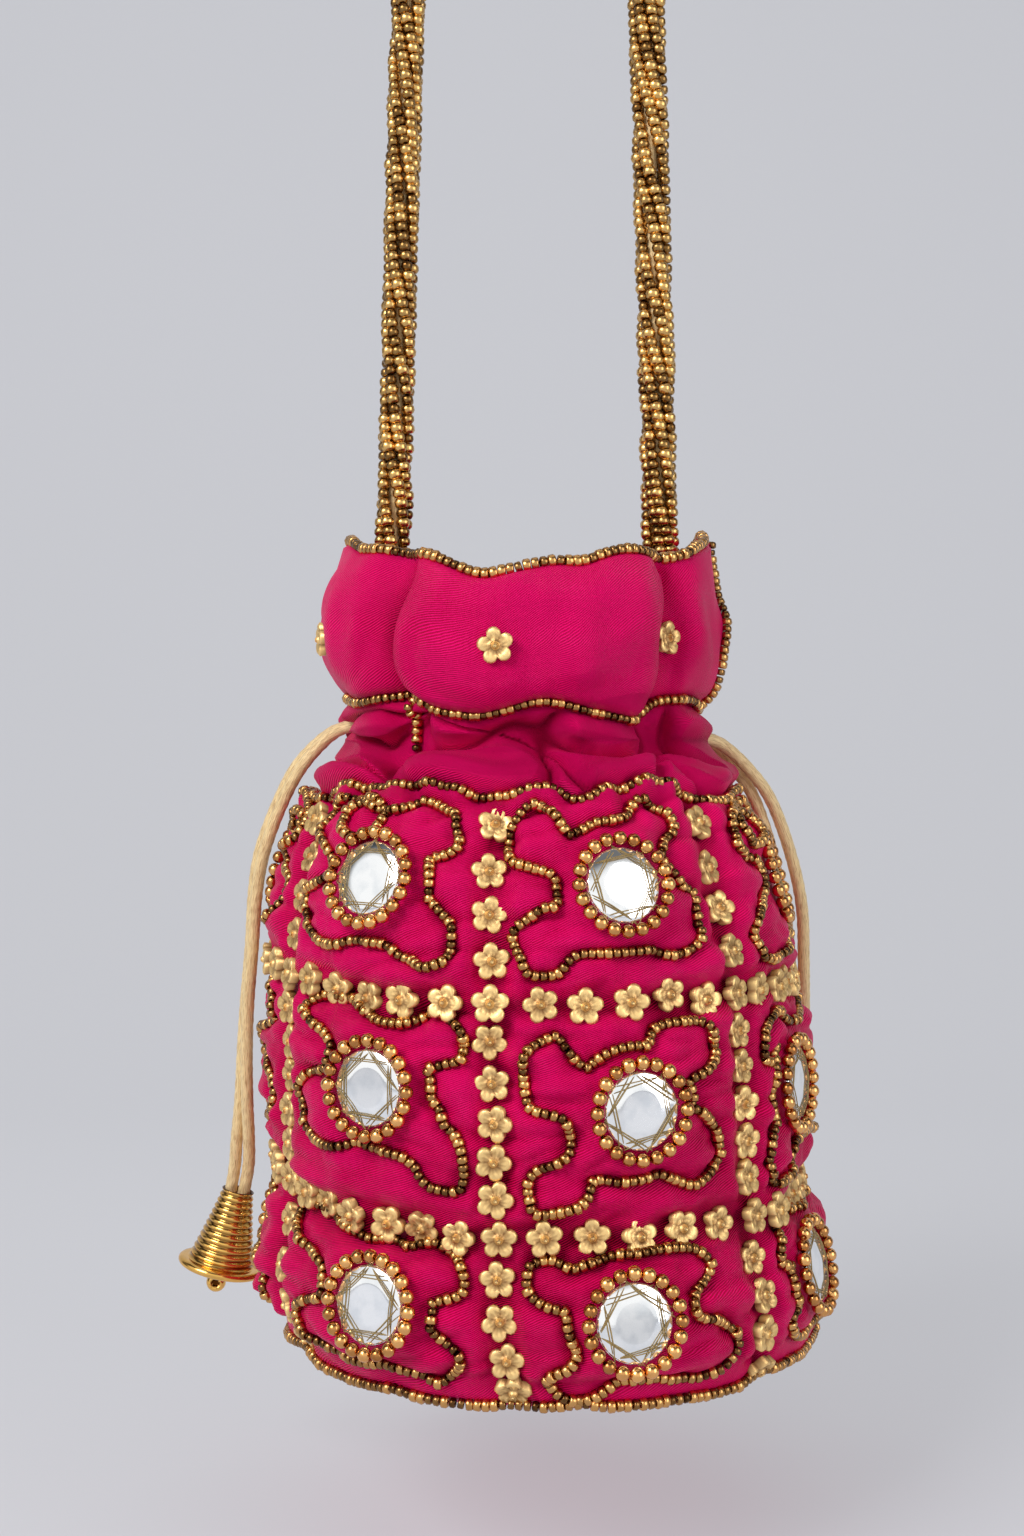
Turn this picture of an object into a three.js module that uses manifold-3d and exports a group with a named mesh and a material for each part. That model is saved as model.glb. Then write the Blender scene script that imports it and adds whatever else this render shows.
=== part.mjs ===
// A potli bag: a gathered satin pouch with beadwork, two drawcords with bells and a beaded rope handle.
// Millimetres, +Z up. Sizes are measured up from the base, and the finished group hangs from its handle.
import * as THREE from 'three';
import { mergeVertices } from 'three/addons/utils/BufferGeometryUtils.js';
import Module from 'manifold-3d';

const wasm = await Module();
wasm.setup();

// Pouch: heights above the base and radii of its skin.
const BASE_INSET = 11.8;
const BASE_CORNER = 11.5;
const BELLY_HEIGHT = 20;
const BELLY_RADIUS = 65.8;
const LOWER_ROW_HEIGHT = 37;
const LOWER_ROW_RADIUS = 63.6;
const UPPER_ROW_HEIGHT = 84.5;
const UPPER_ROW_RADIUS = 61.6;
const SHOULDER_HEIGHT = 112;
const SHOULDER_RADIUS = 55.8;
const POUCH_HEIGHT = 128.5;
const POUCH_TOP_RADIUS = 48.8;
const NECK_HEIGHT = 16.5;
const NECK_RADIUS = 41.5;
const COLLAR_SEAM_RADIUS = 43.6;
const COLLAR_HEIGHT = 42;
const COLLAR_RADIUS = 47.4;
const RIM_RADIUS = 42.8;
const RIM_DIP = 10;
const SIDE_LEAN = 3;
const LEAN_START_HEIGHT = 105;

// Cloth.
const PADDING = 2.4;
const COLLAR_WALL = 1.4;
const CELL_PUFF = 1.1;
const PLEAT_ANGLES = [-42, 46, 136, -134];
const PLEAT_DEPTH = 3.4;
const PLEAT_WIDTH = 8;
const GATHERS = 16;
const GATHER_DEPTH = 1;
const LINING_THICKNESS = 0.8;
const BOARD_THICKNESS = 1.2;
const BOARD_MARGIN = 3;

// Beadwork: one panel lies between each two seam angles, measured from the front towards +X.
const SEAM_ANGLES = [-65, -8, 49, 110, 172, 234];
const FLOWER_RADIUS = 3.75;
const FLOWER_WAIST = 2.2;
const FLOWER_HEIGHT = 1.9;
const FLOWER_EDGE = 0.6;
const FLOWER_ROOT = 3;
const COLUMN_PITCH = 8.4;
const ROW_PITCH = 9.2;
const COLUMN_BOTTOM = 4;
const COLUMN_TOP_MARGIN = 7.5;
const COLLAR_FLOWER_RISE = 17;
const TOP_LINE_MARGIN = 1;
const SEED_DIAMETER = 2.1;
const RING_BEAD_DIAMETER = 2.9;
const MIRROR_DIAMETER = 16;
const MIRROR_THICKNESS = 1.2;
const SIDE_BEADS_ANGLE = 94;

// Drawcords and bells.
const CORD_DIAMETER = 3;
const LEFT_CORD_RISE = 14.7;
const CORD_SPACING = 0.5;
const SLIT_WIDTH = 15.4;
const SLIT_HEIGHT = 5.6;
const BELL_HEIGHT = 19.8;
const BELL_MOUTH_RADIUS = 10.4;
const BELL_WAIST_RADIUS = 8.2;
const BELL_TOP_RADIUS = 3.95;
const BELL_WALL = 0.7;
const BELL_LIP = 1.9;
const BELL_RIBS = 7;
const BELL_RIB_DEPTH = 0.32;
const BELL_BEAD_DIAMETER = 4.8;
const BELL_BEAD_DROP = 3.4;
const BELL_WIRE_DIAMETER = 1.2;

// Handle.
const HANDLE_DROP = 176;
const HANDLE_DIAMETER = 9;
const HANDLE_STRANDS = 5;
const HANDLE_GROOVE = 0.8;
const HANDLE_TWIST_PITCH = 75;
const HANDLE_FOOT_GAP = 6.3;
const HANDLE_SPREAD = 32;
const HANDLE_TOP_SPREAD = 28.4;
const HANDLE_ARCH = 45;

// Clearances.
const TOUCH_GAP = 0.35;
const BEAD_LIFT = 0.6;
const LINING_SLACK = 1;
const LINING_FLARE = 6;
const LINING_RISE = 2;

// Mesh resolution.
const SKIN_SEGMENTS = 32;
const LINING_SEGMENTS = 16;
const TURN_STEPS = 23;
const STRAND_STEPS = 16;
const HANDLE_STEPS = 50;

const BASE_RADIUS = BELLY_RADIUS - BASE_INSET;
const COLLAR_SEAM_HEIGHT = POUCH_HEIGHT + NECK_HEIGHT;
const RIM_HEIGHT = COLLAR_SEAM_HEIGHT + COLLAR_HEIGHT;
const APEX_HEIGHT = RIM_HEIGHT + HANDLE_DROP;
const COLUMN_TOP = POUCH_HEIGHT - COLUMN_TOP_MARGIN;
const COLLAR_FLOWER_HEIGHT = COLLAR_SEAM_HEIGHT + COLLAR_FLOWER_RISE;
const CORD_RADIUS = CORD_DIAMETER / 2;
const LEFT_CORD_HEIGHT = POUCH_HEIGHT + LEFT_CORD_RISE;
const RIGHT_CORD_HEIGHT = LEFT_CORD_HEIGHT - CORD_DIAMETER - CORD_SPACING;
const HANDLE_FOOT_HEIGHT = LEFT_CORD_HEIGHT + CORD_RADIUS + HANDLE_FOOT_GAP;
const HANDLE_RADIUS = HANDLE_DIAMETER / 2;
const NECK_MIDDLE_HEIGHT = POUCH_HEIGHT + NECK_HEIGHT * 0.6;
const COLLAR_MIDDLE_HEIGHT = COLLAR_SEAM_HEIGHT + COLLAR_HEIGHT * 0.45;
// Inner face of the collar where the casing holds the drawcords, and the lining inside them.
const CASING_RADIUS = NECK_RADIUS - PLEAT_DEPTH - GATHER_DEPTH - COLLAR_WALL;
const CORD_TURN_RADIUS = CASING_RADIUS - TOUCH_GAP - CORD_RADIUS;
const LINING_NECK_RADIUS = CORD_TURN_RADIUS - CORD_RADIUS - TOUCH_GAP;
const LINING_TOP_HEIGHT = COLLAR_SEAM_HEIGHT + LINING_RISE;

const satin = { color: 0xc9105f, roughness: 0.55, metalness: 0 };
const liningCloth = { color: 0xa3124f, roughness: 0.7, metalness: 0 };
const board = { color: 0x9a8a72, roughness: 0.9, metalness: 0 };
const flowerGold = { color: 0xdcb878, roughness: 0.42, metalness: 0.75 };
const brightGold = { color: 0xd9a441, roughness: 0.2, metalness: 1 };
const seedBronze = { color: 0x8f6c3a, roughness: 0.35, metalness: 0.8 };
const mirrorGlass = { color: 0xf2f4f5, roughness: 0.05, metalness: 0.9 };
const cordGold = { color: 0xd8b47c, roughness: 0.5, metalness: 0.1 };

const radians = THREE.MathUtils.degToRad;
const bag = new THREE.Group();
bag.position.set(0, 0, -APEX_HEIGHT);

// Knots of the skin's profile, as height and radius.
const PROFILE = [
  [BASE_CORNER, BASE_RADIUS + BASE_CORNER],
  [BELLY_HEIGHT, BELLY_RADIUS],
  [LOWER_ROW_HEIGHT, LOWER_ROW_RADIUS],
  [UPPER_ROW_HEIGHT, UPPER_ROW_RADIUS],
  [SHOULDER_HEIGHT, SHOULDER_RADIUS],
  [POUCH_HEIGHT, POUCH_TOP_RADIUS],
  [NECK_MIDDLE_HEIGHT, NECK_RADIUS],
  [COLLAR_SEAM_HEIGHT, COLLAR_SEAM_RADIUS],
  [COLLAR_MIDDLE_HEIGHT, COLLAR_RADIUS],
  [RIM_HEIGHT, RIM_RADIUS],
];

// A smooth curve through the profile's knots, level with its neighbours' slope at each one.
function profileRadius(height) {
  if (height < BASE_CORNER) {
    const drop = BASE_CORNER - Math.max(height, 0);
    return BASE_RADIUS + Math.sqrt(BASE_CORNER ** 2 - drop ** 2);
  }
  const last = PROFILE.length - 2;
  let k = 0;
  while (k < last && height > PROFILE[k + 1][0]) k += 1;
  const slope = (i) => {
    const [a, b] = [PROFILE[Math.max(i - 1, 0)], PROFILE[Math.min(i + 1, last + 1)]];
    return (b[1] - a[1]) / (b[0] - a[0]);
  };
  const [h0, r0] = PROFILE[k];
  const [h1, r1] = PROFILE[k + 1];
  const span = h1 - h0;
  const t = Math.min((height - h0) / span, 1);
  const rise = t * t * (3 - 2 * t);
  const start = t * (1 - t) ** 2 * span * slope(k);
  const end = t * t * (t - 1) * span * slope(k + 1);
  return r0 + (r1 - r0) * rise + start + end;
}

// The shortest turn from one angle to another, in degrees.
function turnBetween(from, to) {
  return ((((to - from) % 360) + 540) % 360) - 180;
}

// How far between two neighbouring seams an angle lies, from 0 to 1.
function panelShare(angle) {
  for (let k = 0; k < SEAM_ANGLES.length; k += 1) {
    const next = SEAM_ANGLES[(k + 1) % SEAM_ANGLES.length];
    const width = (next - SEAM_ANGLES[k] + 360) % 360;
    const along = (((angle - SEAM_ANGLES[k]) % 360) + 360) % 360;
    if (along < width) return along / width;
  }
  return 0;
}

// The skin puffs out between the sewn rows and columns of the pouch.
function puff(angle, height) {
  const rows = [0, LOWER_ROW_HEIGHT, UPPER_ROW_HEIGHT, POUCH_HEIGHT];
  const k = rows.findIndex((row, i) => i < 3 && height < rows[i + 1]);
  if (k < 0) return 0;
  const up = (Math.max(height, 0) - rows[k]) / (rows[k + 1] - rows[k]);
  return CELL_PUFF * Math.sin(Math.PI * panelShare(angle)) * Math.sin(Math.PI * up);
}

// Deep pleats run from the neck to the rim, and fine gathers crowd the neck.
function folds(angle, height) {
  if (height <= POUCH_HEIGHT) return 0;
  const grow = Math.min((height - POUCH_HEIGHT) / (NECK_HEIGHT * 0.5), 1);
  let depth = 0;
  for (const pleat of PLEAT_ANGLES) {
    depth += PLEAT_DEPTH * Math.exp(-((turnBetween(pleat, angle) / PLEAT_WIDTH) ** 2));
  }
  const aboveNeck = Math.min(Math.abs(height - NECK_MIDDLE_HEIGHT) / NECK_HEIGHT, 1);
  const gather = GATHER_DEPTH * (1 - aboveNeck) * (0.5 - 0.5 * Math.cos(radians(angle * GATHERS)));
  return -grow * (depth + gather);
}

function skinRadius(angle, height) {
  return profileRadius(height) + puff(angle, height) + folds(angle, height);
}

// The pouch hangs a little out of line, so its lower end is further to one side.
function lean(height) {
  return SIDE_LEAN * Math.max(1 - height / LEAN_START_HEIGHT, 0) ** 0.7;
}

function place(angle, radius, height) {
  const turn = radians(angle);
  return [radius * Math.sin(turn) + lean(height), -radius * Math.cos(turn), height];
}

// The rim of the collar dips at the front and the back.
function rimHeight(angle) {
  return RIM_HEIGHT - RIM_DIP * Math.abs(Math.cos(radians(angle))) ** 1.5;
}

// A point lifted off the skin along its slope.
function onSkin(angle, height, lift) {
  const step = 0.5;
  const slope = (skinRadius(angle, height + step) - skinRadius(angle, height - step)) / (2 * step);
  const length = Math.hypot(1, slope);
  const up = height > BASE_CORNER ? (-slope * lift) / length : 0;
  const out = height > BASE_CORNER ? lift / length : lift;
  return place(angle, skinRadius(angle, height) + out, height + up);
}

// A closed solid from points and triangles: doubles merged, flat triangles dropped, faces outwards.
function solid(points, triangles) {
  const raw = new THREE.BufferGeometry();
  raw.setAttribute('position', new THREE.Float32BufferAttribute(points.flat(), 3));
  raw.setIndex(triangles.flat());
  const merged = mergeVertices(raw, 1e-4);
  const index = merged.getIndex().array;
  const at = (i) => new THREE.Vector3().fromBufferAttribute(merged.getAttribute('position'), i);
  const kept = [];
  let volume = 0;
  for (let i = 0; i < index.length; i += 3) {
    const [a, b, c] = [index[i], index[i + 1], index[i + 2]];
    if (a === b || b === c || c === a) continue;
    kept.push([a, b, c]);
    volume += at(a).dot(at(b).cross(at(c)));
  }
  merged.setIndex((volume < 0 ? kept.map(([a, b, c]) => [a, c, b]) : kept).flat());
  return merged;
}

// Triangles between neighbouring rings of points, each ring as long as the next.
function stitchRings(ringCount, ringLength, { closedRings, closedPath }) {
  const triangles = [];
  const steps = closedPath ? ringCount : ringCount - 1;
  const sides = closedRings ? ringLength : ringLength - 1;
  for (let i = 0; i < steps; i += 1) {
    const next = ((i + 1) % ringCount) * ringLength;
    for (let j = 0; j < sides; j += 1) {
      const k = (j + 1) % ringLength;
      const [a, b, c, d] = [i * ringLength + j, i * ringLength + k, next + k, next + j];
      triangles.push([a, b, c], [a, c, d]);
    }
  }
  return triangles;
}

// A wall turned round the bag's axis, whose section may change with the angle.
function spun(section, segments) {
  const points = [];
  for (let i = 0; i < segments; i += 1) {
    const angle = (360 * i) / segments;
    for (const [radius, height] of section(angle)) points.push(place(angle, radius, height));
  }
  const count = section(0).length;
  const onAxis = section(0)[0][0] === 0;
  return solid(points, stitchRings(segments, count, { closedRings: !onAxis, closedPath: true }));
}

// A three-sided bead string laid on the skin along angle and height pairs.
function beadString(path, width, closed) {
  const half = width / 2;
  const points = [];
  for (let i = 0; i < path.length; i += 1) {
    const before = path[closed ? (i + path.length - 1) % path.length : Math.max(i - 1, 0)];
    const after = path[closed ? (i + 1) % path.length : Math.min(i + 1, path.length - 1)];
    const [angle, height] = path[i];
    const scale = radians(skinRadius(angle, height));
    const along = new THREE.Vector2(turnBetween(before[0], after[0]) * scale, after[1] - before[1]).normalize();
    const side = [(-along.y * half) / scale, along.x * half];
    points.push(onSkin(angle + side[0], height + side[1], BEAD_LIFT));
    points.push(onSkin(angle, height, BEAD_LIFT + width));
    points.push(onSkin(angle - side[0], height - side[1], BEAD_LIFT));
  }
  const triangles = stitchRings(path.length, 3, { closedRings: true, closedPath: closed });
  const last = points.length - 3;
  if (!closed) triangles.push([2, 1, 0], [last, last + 1, last + 2]);
  return solid(points, triangles);
}

function toManifold(geometry) {
  const bare = new THREE.BufferGeometry();
  bare.setAttribute('position', geometry.getAttribute('position').clone());
  bare.setIndex(geometry.getIndex() ?? [...Array(bare.getAttribute('position').count).keys()]);
  const merged = mergeVertices(bare, 1e-4);
  const mesh = new wasm.Mesh({
    numProp: 3,
    vertProperties: new Float32Array(merged.getAttribute('position').array),
    triVerts: new Uint32Array(merged.getIndex().array),
  });
  return new wasm.Manifold(mesh);
}

function fromManifold(manifold) {
  const mesh = manifold.getMesh();
  const geometry = new THREE.BufferGeometry();
  geometry.setAttribute('position', new THREE.BufferAttribute(new Float32Array(mesh.vertProperties), 3));
  geometry.setIndex(new THREE.BufferAttribute(new Uint32Array(mesh.triVerts), 1));
  return geometry;
}

function addPart(name, geometry, finish, parent = bag) {
  const part = new THREE.Mesh(geometry, new THREE.MeshStandardMaterial(finish));
  part.name = name;
  parent.add(part);
  return part;
}

function steps(from, to, count) {
  return Array.from({ length: count + 1 }, (_, i) => from + ((to - from) * i) / count);
}

// Pouch: a padded cup, open at the top.
const POUCH_SKIN_HEIGHTS = [
  ...steps(0, BASE_CORNER, 3),
  ...steps(BASE_CORNER, LOWER_ROW_HEIGHT, 2).slice(1),
  ...steps(LOWER_ROW_HEIGHT, UPPER_ROW_HEIGHT, 4).slice(1),
  ...steps(UPPER_ROW_HEIGHT, POUCH_HEIGHT, 4).slice(1),
];
const INSIDE_HEIGHTS = [POUCH_HEIGHT, SHOULDER_HEIGHT, UPPER_ROW_HEIGHT, BASE_CORNER];

function insideRadius(height) {
  return profileRadius(height) - PADDING;
}

function pouchSection(angle) {
  const outer = POUCH_SKIN_HEIGHTS.map((height) => [skinRadius(angle, height), height]);
  const inner = INSIDE_HEIGHTS.map((height) => [insideRadius(height), height]);
  return [[0, 0], ...outer, ...inner, [BASE_RADIUS, PADDING], [0, PADDING]];
}

// Collar and gathered neck: one padded band, cut by a slit at each side for the drawcords.
const COLLAR_START_HEIGHT = POUCH_HEIGHT + TOUCH_GAP;

function collarInside(height) {
  return Math.min(profileRadius(height) - PLEAT_DEPTH - GATHER_DEPTH - COLLAR_WALL, profileRadius(height) - PADDING);
}

function collarSection(angle) {
  const top = rimHeight(angle);
  const outer = steps(COLLAR_START_HEIGHT, COLLAR_SEAM_HEIGHT, 4)
    .concat(steps(COLLAR_SEAM_HEIGHT, top, 6).slice(1))
    .map((height) => [skinRadius(angle, height), height]);
  const inner = [top, COLLAR_MIDDLE_HEIGHT, COLLAR_SEAM_HEIGHT, NECK_MIDDLE_HEIGHT, COLLAR_START_HEIGHT];
  return outer.concat(inner.map((height) => [collarInside(height), height]));
}

// A five-petalled outline, tips and waists in turn, as pairs across and up.
const TIP_UP = 0;

function flowerOutline(turn) {
  return Array.from({ length: 10 }, (_, i) => {
    const reach = i % 2 === 0 ? FLOWER_RADIUS : FLOWER_WAIST;
    const direction = radians(90 + turn - 36 * i);
    return [reach * Math.cos(direction), reach * Math.sin(direction)];
  });
}

function flowerPoint(angle, height, [across, up], lift) {
  return onSkin(angle + across / radians(skinRadius(angle, height)), height + up, lift);
}

function looseFlower(angle, height) {
  const outline = flowerOutline(TIP_UP).map((at) => flowerPoint(angle, height, at, FLOWER_EDGE));
  const points = [...outline, onSkin(angle, height, FLOWER_HEIGHT), onSkin(angle, height, -FLOWER_ROOT)];
  const triangles = [];
  for (let i = 0; i < 10; i += 1) triangles.push([i, (i + 1) % 10, 10], [(i + 1) % 10, i, 11]);
  return solid(points, triangles);
}

function collarWithFlowers() {
  let cloth = toManifold(spun(collarSection, SKIN_SEGMENTS));
  for (const [side, height] of [[-1, LEFT_CORD_HEIGHT], [1, RIGHT_CORD_HEIGHT]]) {
    const slit = new THREE.BoxGeometry(NECK_RADIUS, SLIT_WIDTH, SLIT_HEIGHT);
    slit.translate(side * NECK_RADIUS + lean(height), 0, height);
    cloth = cloth.subtract(toManifold(slit));
  }
  for (const angle of SEAM_ANGLES) cloth = cloth.add(toManifold(looseFlower(angle, COLLAR_FLOWER_HEIGHT)));
  return fromManifold(cloth);
}

// Lining: a smooth cup inside the pouch, drawn in inside the casing.
const LINING_KNOTS = [
  [LINING_TOP_HEIGHT, LINING_NECK_RADIUS],
  [NECK_MIDDLE_HEIGHT, LINING_NECK_RADIUS],
  [POUCH_HEIGHT, Math.min(insideRadius(POUCH_HEIGHT) - TOUCH_GAP, LINING_NECK_RADIUS + LINING_FLARE)],
  ...[SHOULDER_HEIGHT, UPPER_ROW_HEIGHT, BASE_CORNER].map((height) => {
    return [height, insideRadius(height) - TOUCH_GAP - LINING_SLACK];
  }),
];
const BOARD_BOTTOM = PADDING + TOUCH_GAP;
const LINING_BOTTOM = BOARD_BOTTOM + BOARD_THICKNESS + TOUCH_GAP;
const BOARD_RADIUS = BASE_RADIUS - BOARD_MARGIN;

function liningSection() {
  const outer = LINING_KNOTS.map(([height, radius]) => [radius, height]).reverse();
  const inner = LINING_KNOTS.map(([height, radius]) => [radius - LINING_THICKNESS, height]);
  const floor = LINING_BOTTOM + LINING_THICKNESS;
  return [[0, LINING_BOTTOM], [BOARD_RADIUS, LINING_BOTTOM], ...outer, ...inner, [BOARD_RADIUS, floor], [0, floor]];
}

addPart('pouch_shell', spun(pouchSection, SKIN_SEGMENTS), satin);
addPart('collar_frill', collarWithFlowers(), satin);
addPart('lining', spun(liningSection, LINING_SEGMENTS), liningCloth);
const boardDisc = new THREE.CylinderGeometry(BOARD_RADIUS, BOARD_RADIUS, BOARD_THICKNESS, LINING_SEGMENTS);
boardDisc.rotateX(Math.PI / 2);
boardDisc.translate(lean(0), 0, BOARD_BOTTOM + BOARD_THICKNESS / 2);
addPart('base_board', boardDisc, board);

// Flower net: flowers strung in columns down the seams and in two rows round the pouch.
const EDGE = { right: [2, 3], down: [5, 6], left: [7, 8], up: [9, 0] };

function evenly(stops, pitch) {
  const all = [stops[0]];
  for (let k = 1; k < stops.length; k += 1) {
    const count = Math.max(Math.round((stops[k] - stops[k - 1]) / pitch), 1);
    all.push(...steps(stops[k - 1], stops[k], count).slice(1, -1), stops[k]);
  }
  return all;
}

function flowerNet() {
  const flowers = [];
  const links = [];
  const addFlower = (angle, height) => flowers.push({ angle, height, undersides: {} }) - 1;
  const rowStarts = { [LOWER_ROW_HEIGHT]: [], [UPPER_ROW_HEIGHT]: [] };
  for (const angle of SEAM_ANGLES) {
    let below = -1;
    for (const height of evenly([COLUMN_BOTTOM, LOWER_ROW_HEIGHT, UPPER_ROW_HEIGHT, COLUMN_TOP], COLUMN_PITCH)) {
      const flower = addFlower(angle, height);
      if (below >= 0) links.push([below, 'up', flower, 'down']);
      if (height in rowStarts) rowStarts[height].push(flower);
      below = flower;
    }
  }
  for (const [row, starts] of Object.entries(rowStarts)) {
    starts.forEach((start, k) => {
      const end = starts[(k + 1) % starts.length];
      const from = flowers[start].angle;
      const width = (flowers[end].angle - from + 360) % 360;
      const pitch = ROW_PITCH / radians(profileRadius(Number(row)));
      const stops = evenly([0, width], pitch).slice(1, -1);
      let previous = start;
      for (const along of stops) {
        const flower = addFlower(from + along, Number(row));
        links.push([previous, 'right', flower, 'left']);
        previous = flower;
      }
      links.push([previous, 'right', end, 'left']);
    });
  }
  return meshFlowers(flowers, links);
}

// Each link is a three-sided thread between an outline edge of one flower and one of the next.
function meshFlowers(flowers, links) {
  const points = [];
  const triangles = [];
  for (const flower of flowers) {
    flower.first = points.length;
    for (const at of flowerOutline(TIP_UP)) {
      points.push(flowerPoint(flower.angle, flower.height, at, BEAD_LIFT + FLOWER_EDGE));
    }
    points.push(onSkin(flower.angle, flower.height, BEAD_LIFT + FLOWER_HEIGHT));
  }
  for (const [one, side, other, otherSide] of links) {
    for (const [number, edge] of [[one, side], [other, otherSide]]) {
      const flower = flowers[number];
      const [i, j] = EDGE[edge];
      const outline = flowerOutline(TIP_UP);
      const middle = [(outline[i][0] + outline[j][0]) / 2, (outline[i][1] + outline[j][1]) / 2];
      flower.undersides[i] = points.length;
      points.push(flowerPoint(flower.angle, flower.height, middle, BEAD_LIFT));
    }
    const [a, b] = EDGE[side].map((i) => flowers[one].first + i);
    const [c, d] = EDGE[otherSide].map((i) => flowers[other].first + i);
    const under = flowers[one].undersides[EDGE[side][0]];
    const otherUnder = flowers[other].undersides[EDGE[otherSide][0]];
    triangles.push([a, b, c], [a, c, d], [a, d, otherUnder], [a, otherUnder, under]);
    triangles.push([c, b, under], [c, under, otherUnder]);
  }
  for (const { first, undersides } of flowers) {
    for (let i = 0; i < 10; i += 1) triangles.push([first + i, first + 10, first + ((i + 1) % 10)]);
    for (let tip = 0; tip < 10; tip += 2) {
      const before = (tip + 9) % 10;
      const loop = [before, undersides[before], tip, undersides[tip], tip + 1];
      const corners = loop.map((at, k) => (k % 2 === 0 ? first + at : at)).filter((at) => at !== undefined);
      const hub = undersides[before] === undefined ? 0 : corners.length - 1;
      for (let k = 1; k < corners.length - 1; k += 1) {
        const [b, c] = [corners[(hub + k) % corners.length], corners[(hub + k + 1) % corners.length]];
        triangles.push([corners[hub], b, c]);
      }
    }
    for (const [a, b, c] of [[1, 3, 5], [1, 5, 7], [1, 7, 9]]) triangles.push([first + a, first + b, first + c]);
  }
  return solid(points, triangles);
}

addPart('flower_net', flowerNet(), flowerGold);

// Mirrors: each sits in the middle of a cell, in a ring of round beads and a four-lobed outline of seed beads.
const RING_RADIUS = MIRROR_DIAMETER / 2 + RING_BEAD_DIAMETER / 2 + 1;
const RING_STEPS = 8;
const LOBES = [
  [-12.6, 0], [-21.5, 5], [-21, 14], [-12, 16], [0, 13.2], [10, 16], [17.5, 13],
  [17, 5], [12.6, 0], [18, -7], [14, -14.5], [4, -13.4], [-4, -13.4], [-13, -17.5], [-22, -12], [-18.5, -5],
];
const ROWS = [
  ['low', COLUMN_BOTTOM - FLOWER_RADIUS, LOWER_ROW_HEIGHT],
  ['middle', LOWER_ROW_HEIGHT, UPPER_ROW_HEIGHT],
  ['high', UPPER_ROW_HEIGHT, POUCH_HEIGHT],
];

function cellPath(angle, height, pairs) {
  return pairs.map(([across, up]) => {
    return [angle + across / radians(profileRadius(height + up)), height + up];
  });
}

function settingFor(angle, height, cellHeight) {
  const room = cellHeight / 2 - FLOWER_RADIUS - SEED_DIAMETER / 2 - BEAD_LIFT;
  const lobes = LOBES.map(([across, up]) => [across, THREE.MathUtils.clamp(up, -room, room)]);
  const circle = steps(0, 360, RING_STEPS)
    .slice(1)
    .map((turn) => [RING_RADIUS * Math.cos(radians(turn)), RING_RADIUS * Math.sin(radians(turn))]);
  const outline = beadString(cellPath(angle, height, lobes), SEED_DIAMETER, true);
  const ring = beadString(cellPath(angle, height, circle), RING_BEAD_DIAMETER, true);
  return fromManifold(toManifold(outline).add(toManifold(ring)));
}

function mirrorDisc(angle, height) {
  const disc = new THREE.CylinderGeometry(MIRROR_DIAMETER / 2, MIRROR_DIAMETER / 2, MIRROR_THICKNESS, 8);
  const foot = new THREE.Vector3(...onSkin(angle, height, BEAD_LIFT));
  const head = new THREE.Vector3(...onSkin(angle, height, BEAD_LIFT + MIRROR_THICKNESS));
  disc.applyQuaternion(new THREE.Quaternion().setFromUnitVectors(
    new THREE.Vector3(0, 1, 0),
    head.clone().sub(foot).normalize(),
  ));
  const centre = foot.add(head).multiplyScalar(0.5);
  return disc.translate(centre.x, centre.y, centre.z);
}

SEAM_ANGLES.forEach((seam, k) => {
  const next = SEAM_ANGLES[(k + 1) % SEAM_ANGLES.length];
  const angle = seam + ((next - seam + 360) % 360) / 2;
  for (const [row, bottom, top] of ROWS) {
    const height = (bottom + top) / 2;
    addPart(`mirror_${row}_${k + 1}`, mirrorDisc(angle, height), mirrorGlass);
    addPart(`mirror_setting_${row}_${k + 1}`, settingFor(angle, height, top - bottom), seedBronze);
  }
});

// Lines of seed beads along the edges.
function roundLine(height) {
  return steps(0, 360, SKIN_SEGMENTS).slice(1).map((angle) => [angle, height]);
}

function rimBeads() {
  const half = SEED_DIAMETER / 2;
  const points = [];
  for (let i = 0; i < SKIN_SEGMENTS; i += 1) {
    const angle = (360 * i) / SKIN_SEGMENTS;
    const top = rimHeight(angle);
    const outside = skinRadius(angle, top);
    points.push(place(angle, outside, top + TOUCH_GAP));
    points.push(place(angle, outside - half, top + TOUCH_GAP + SEED_DIAMETER));
    points.push(place(angle, outside - SEED_DIAMETER, top + TOUCH_GAP));
  }
  return solid(points, stitchRings(SKIN_SEGMENTS, 3, { closedRings: true, closedPath: true }));
}

const seamLine = SEED_DIAMETER / 2 + TOUCH_GAP;
const sideLine = steps(COLLAR_SEAM_HEIGHT + SEED_DIAMETER * 2, rimHeight(SIDE_BEADS_ANGLE) - SEED_DIAMETER, 8);
addPart('rim_beads', rimBeads(), seedBronze);
addPart('collar_side_beads', beadString(sideLine.map((h) => [SIDE_BEADS_ANGLE, h]), SEED_DIAMETER, false), seedBronze);
addPart('collar_seam_beads', beadString(roundLine(COLLAR_SEAM_HEIGHT + seamLine), SEED_DIAMETER, true), seedBronze);
addPart('pouch_top_beads', beadString(roundLine(POUCH_HEIGHT - seamLine - TOP_LINE_MARGIN), SEED_DIAMETER, true), seedBronze);

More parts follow.
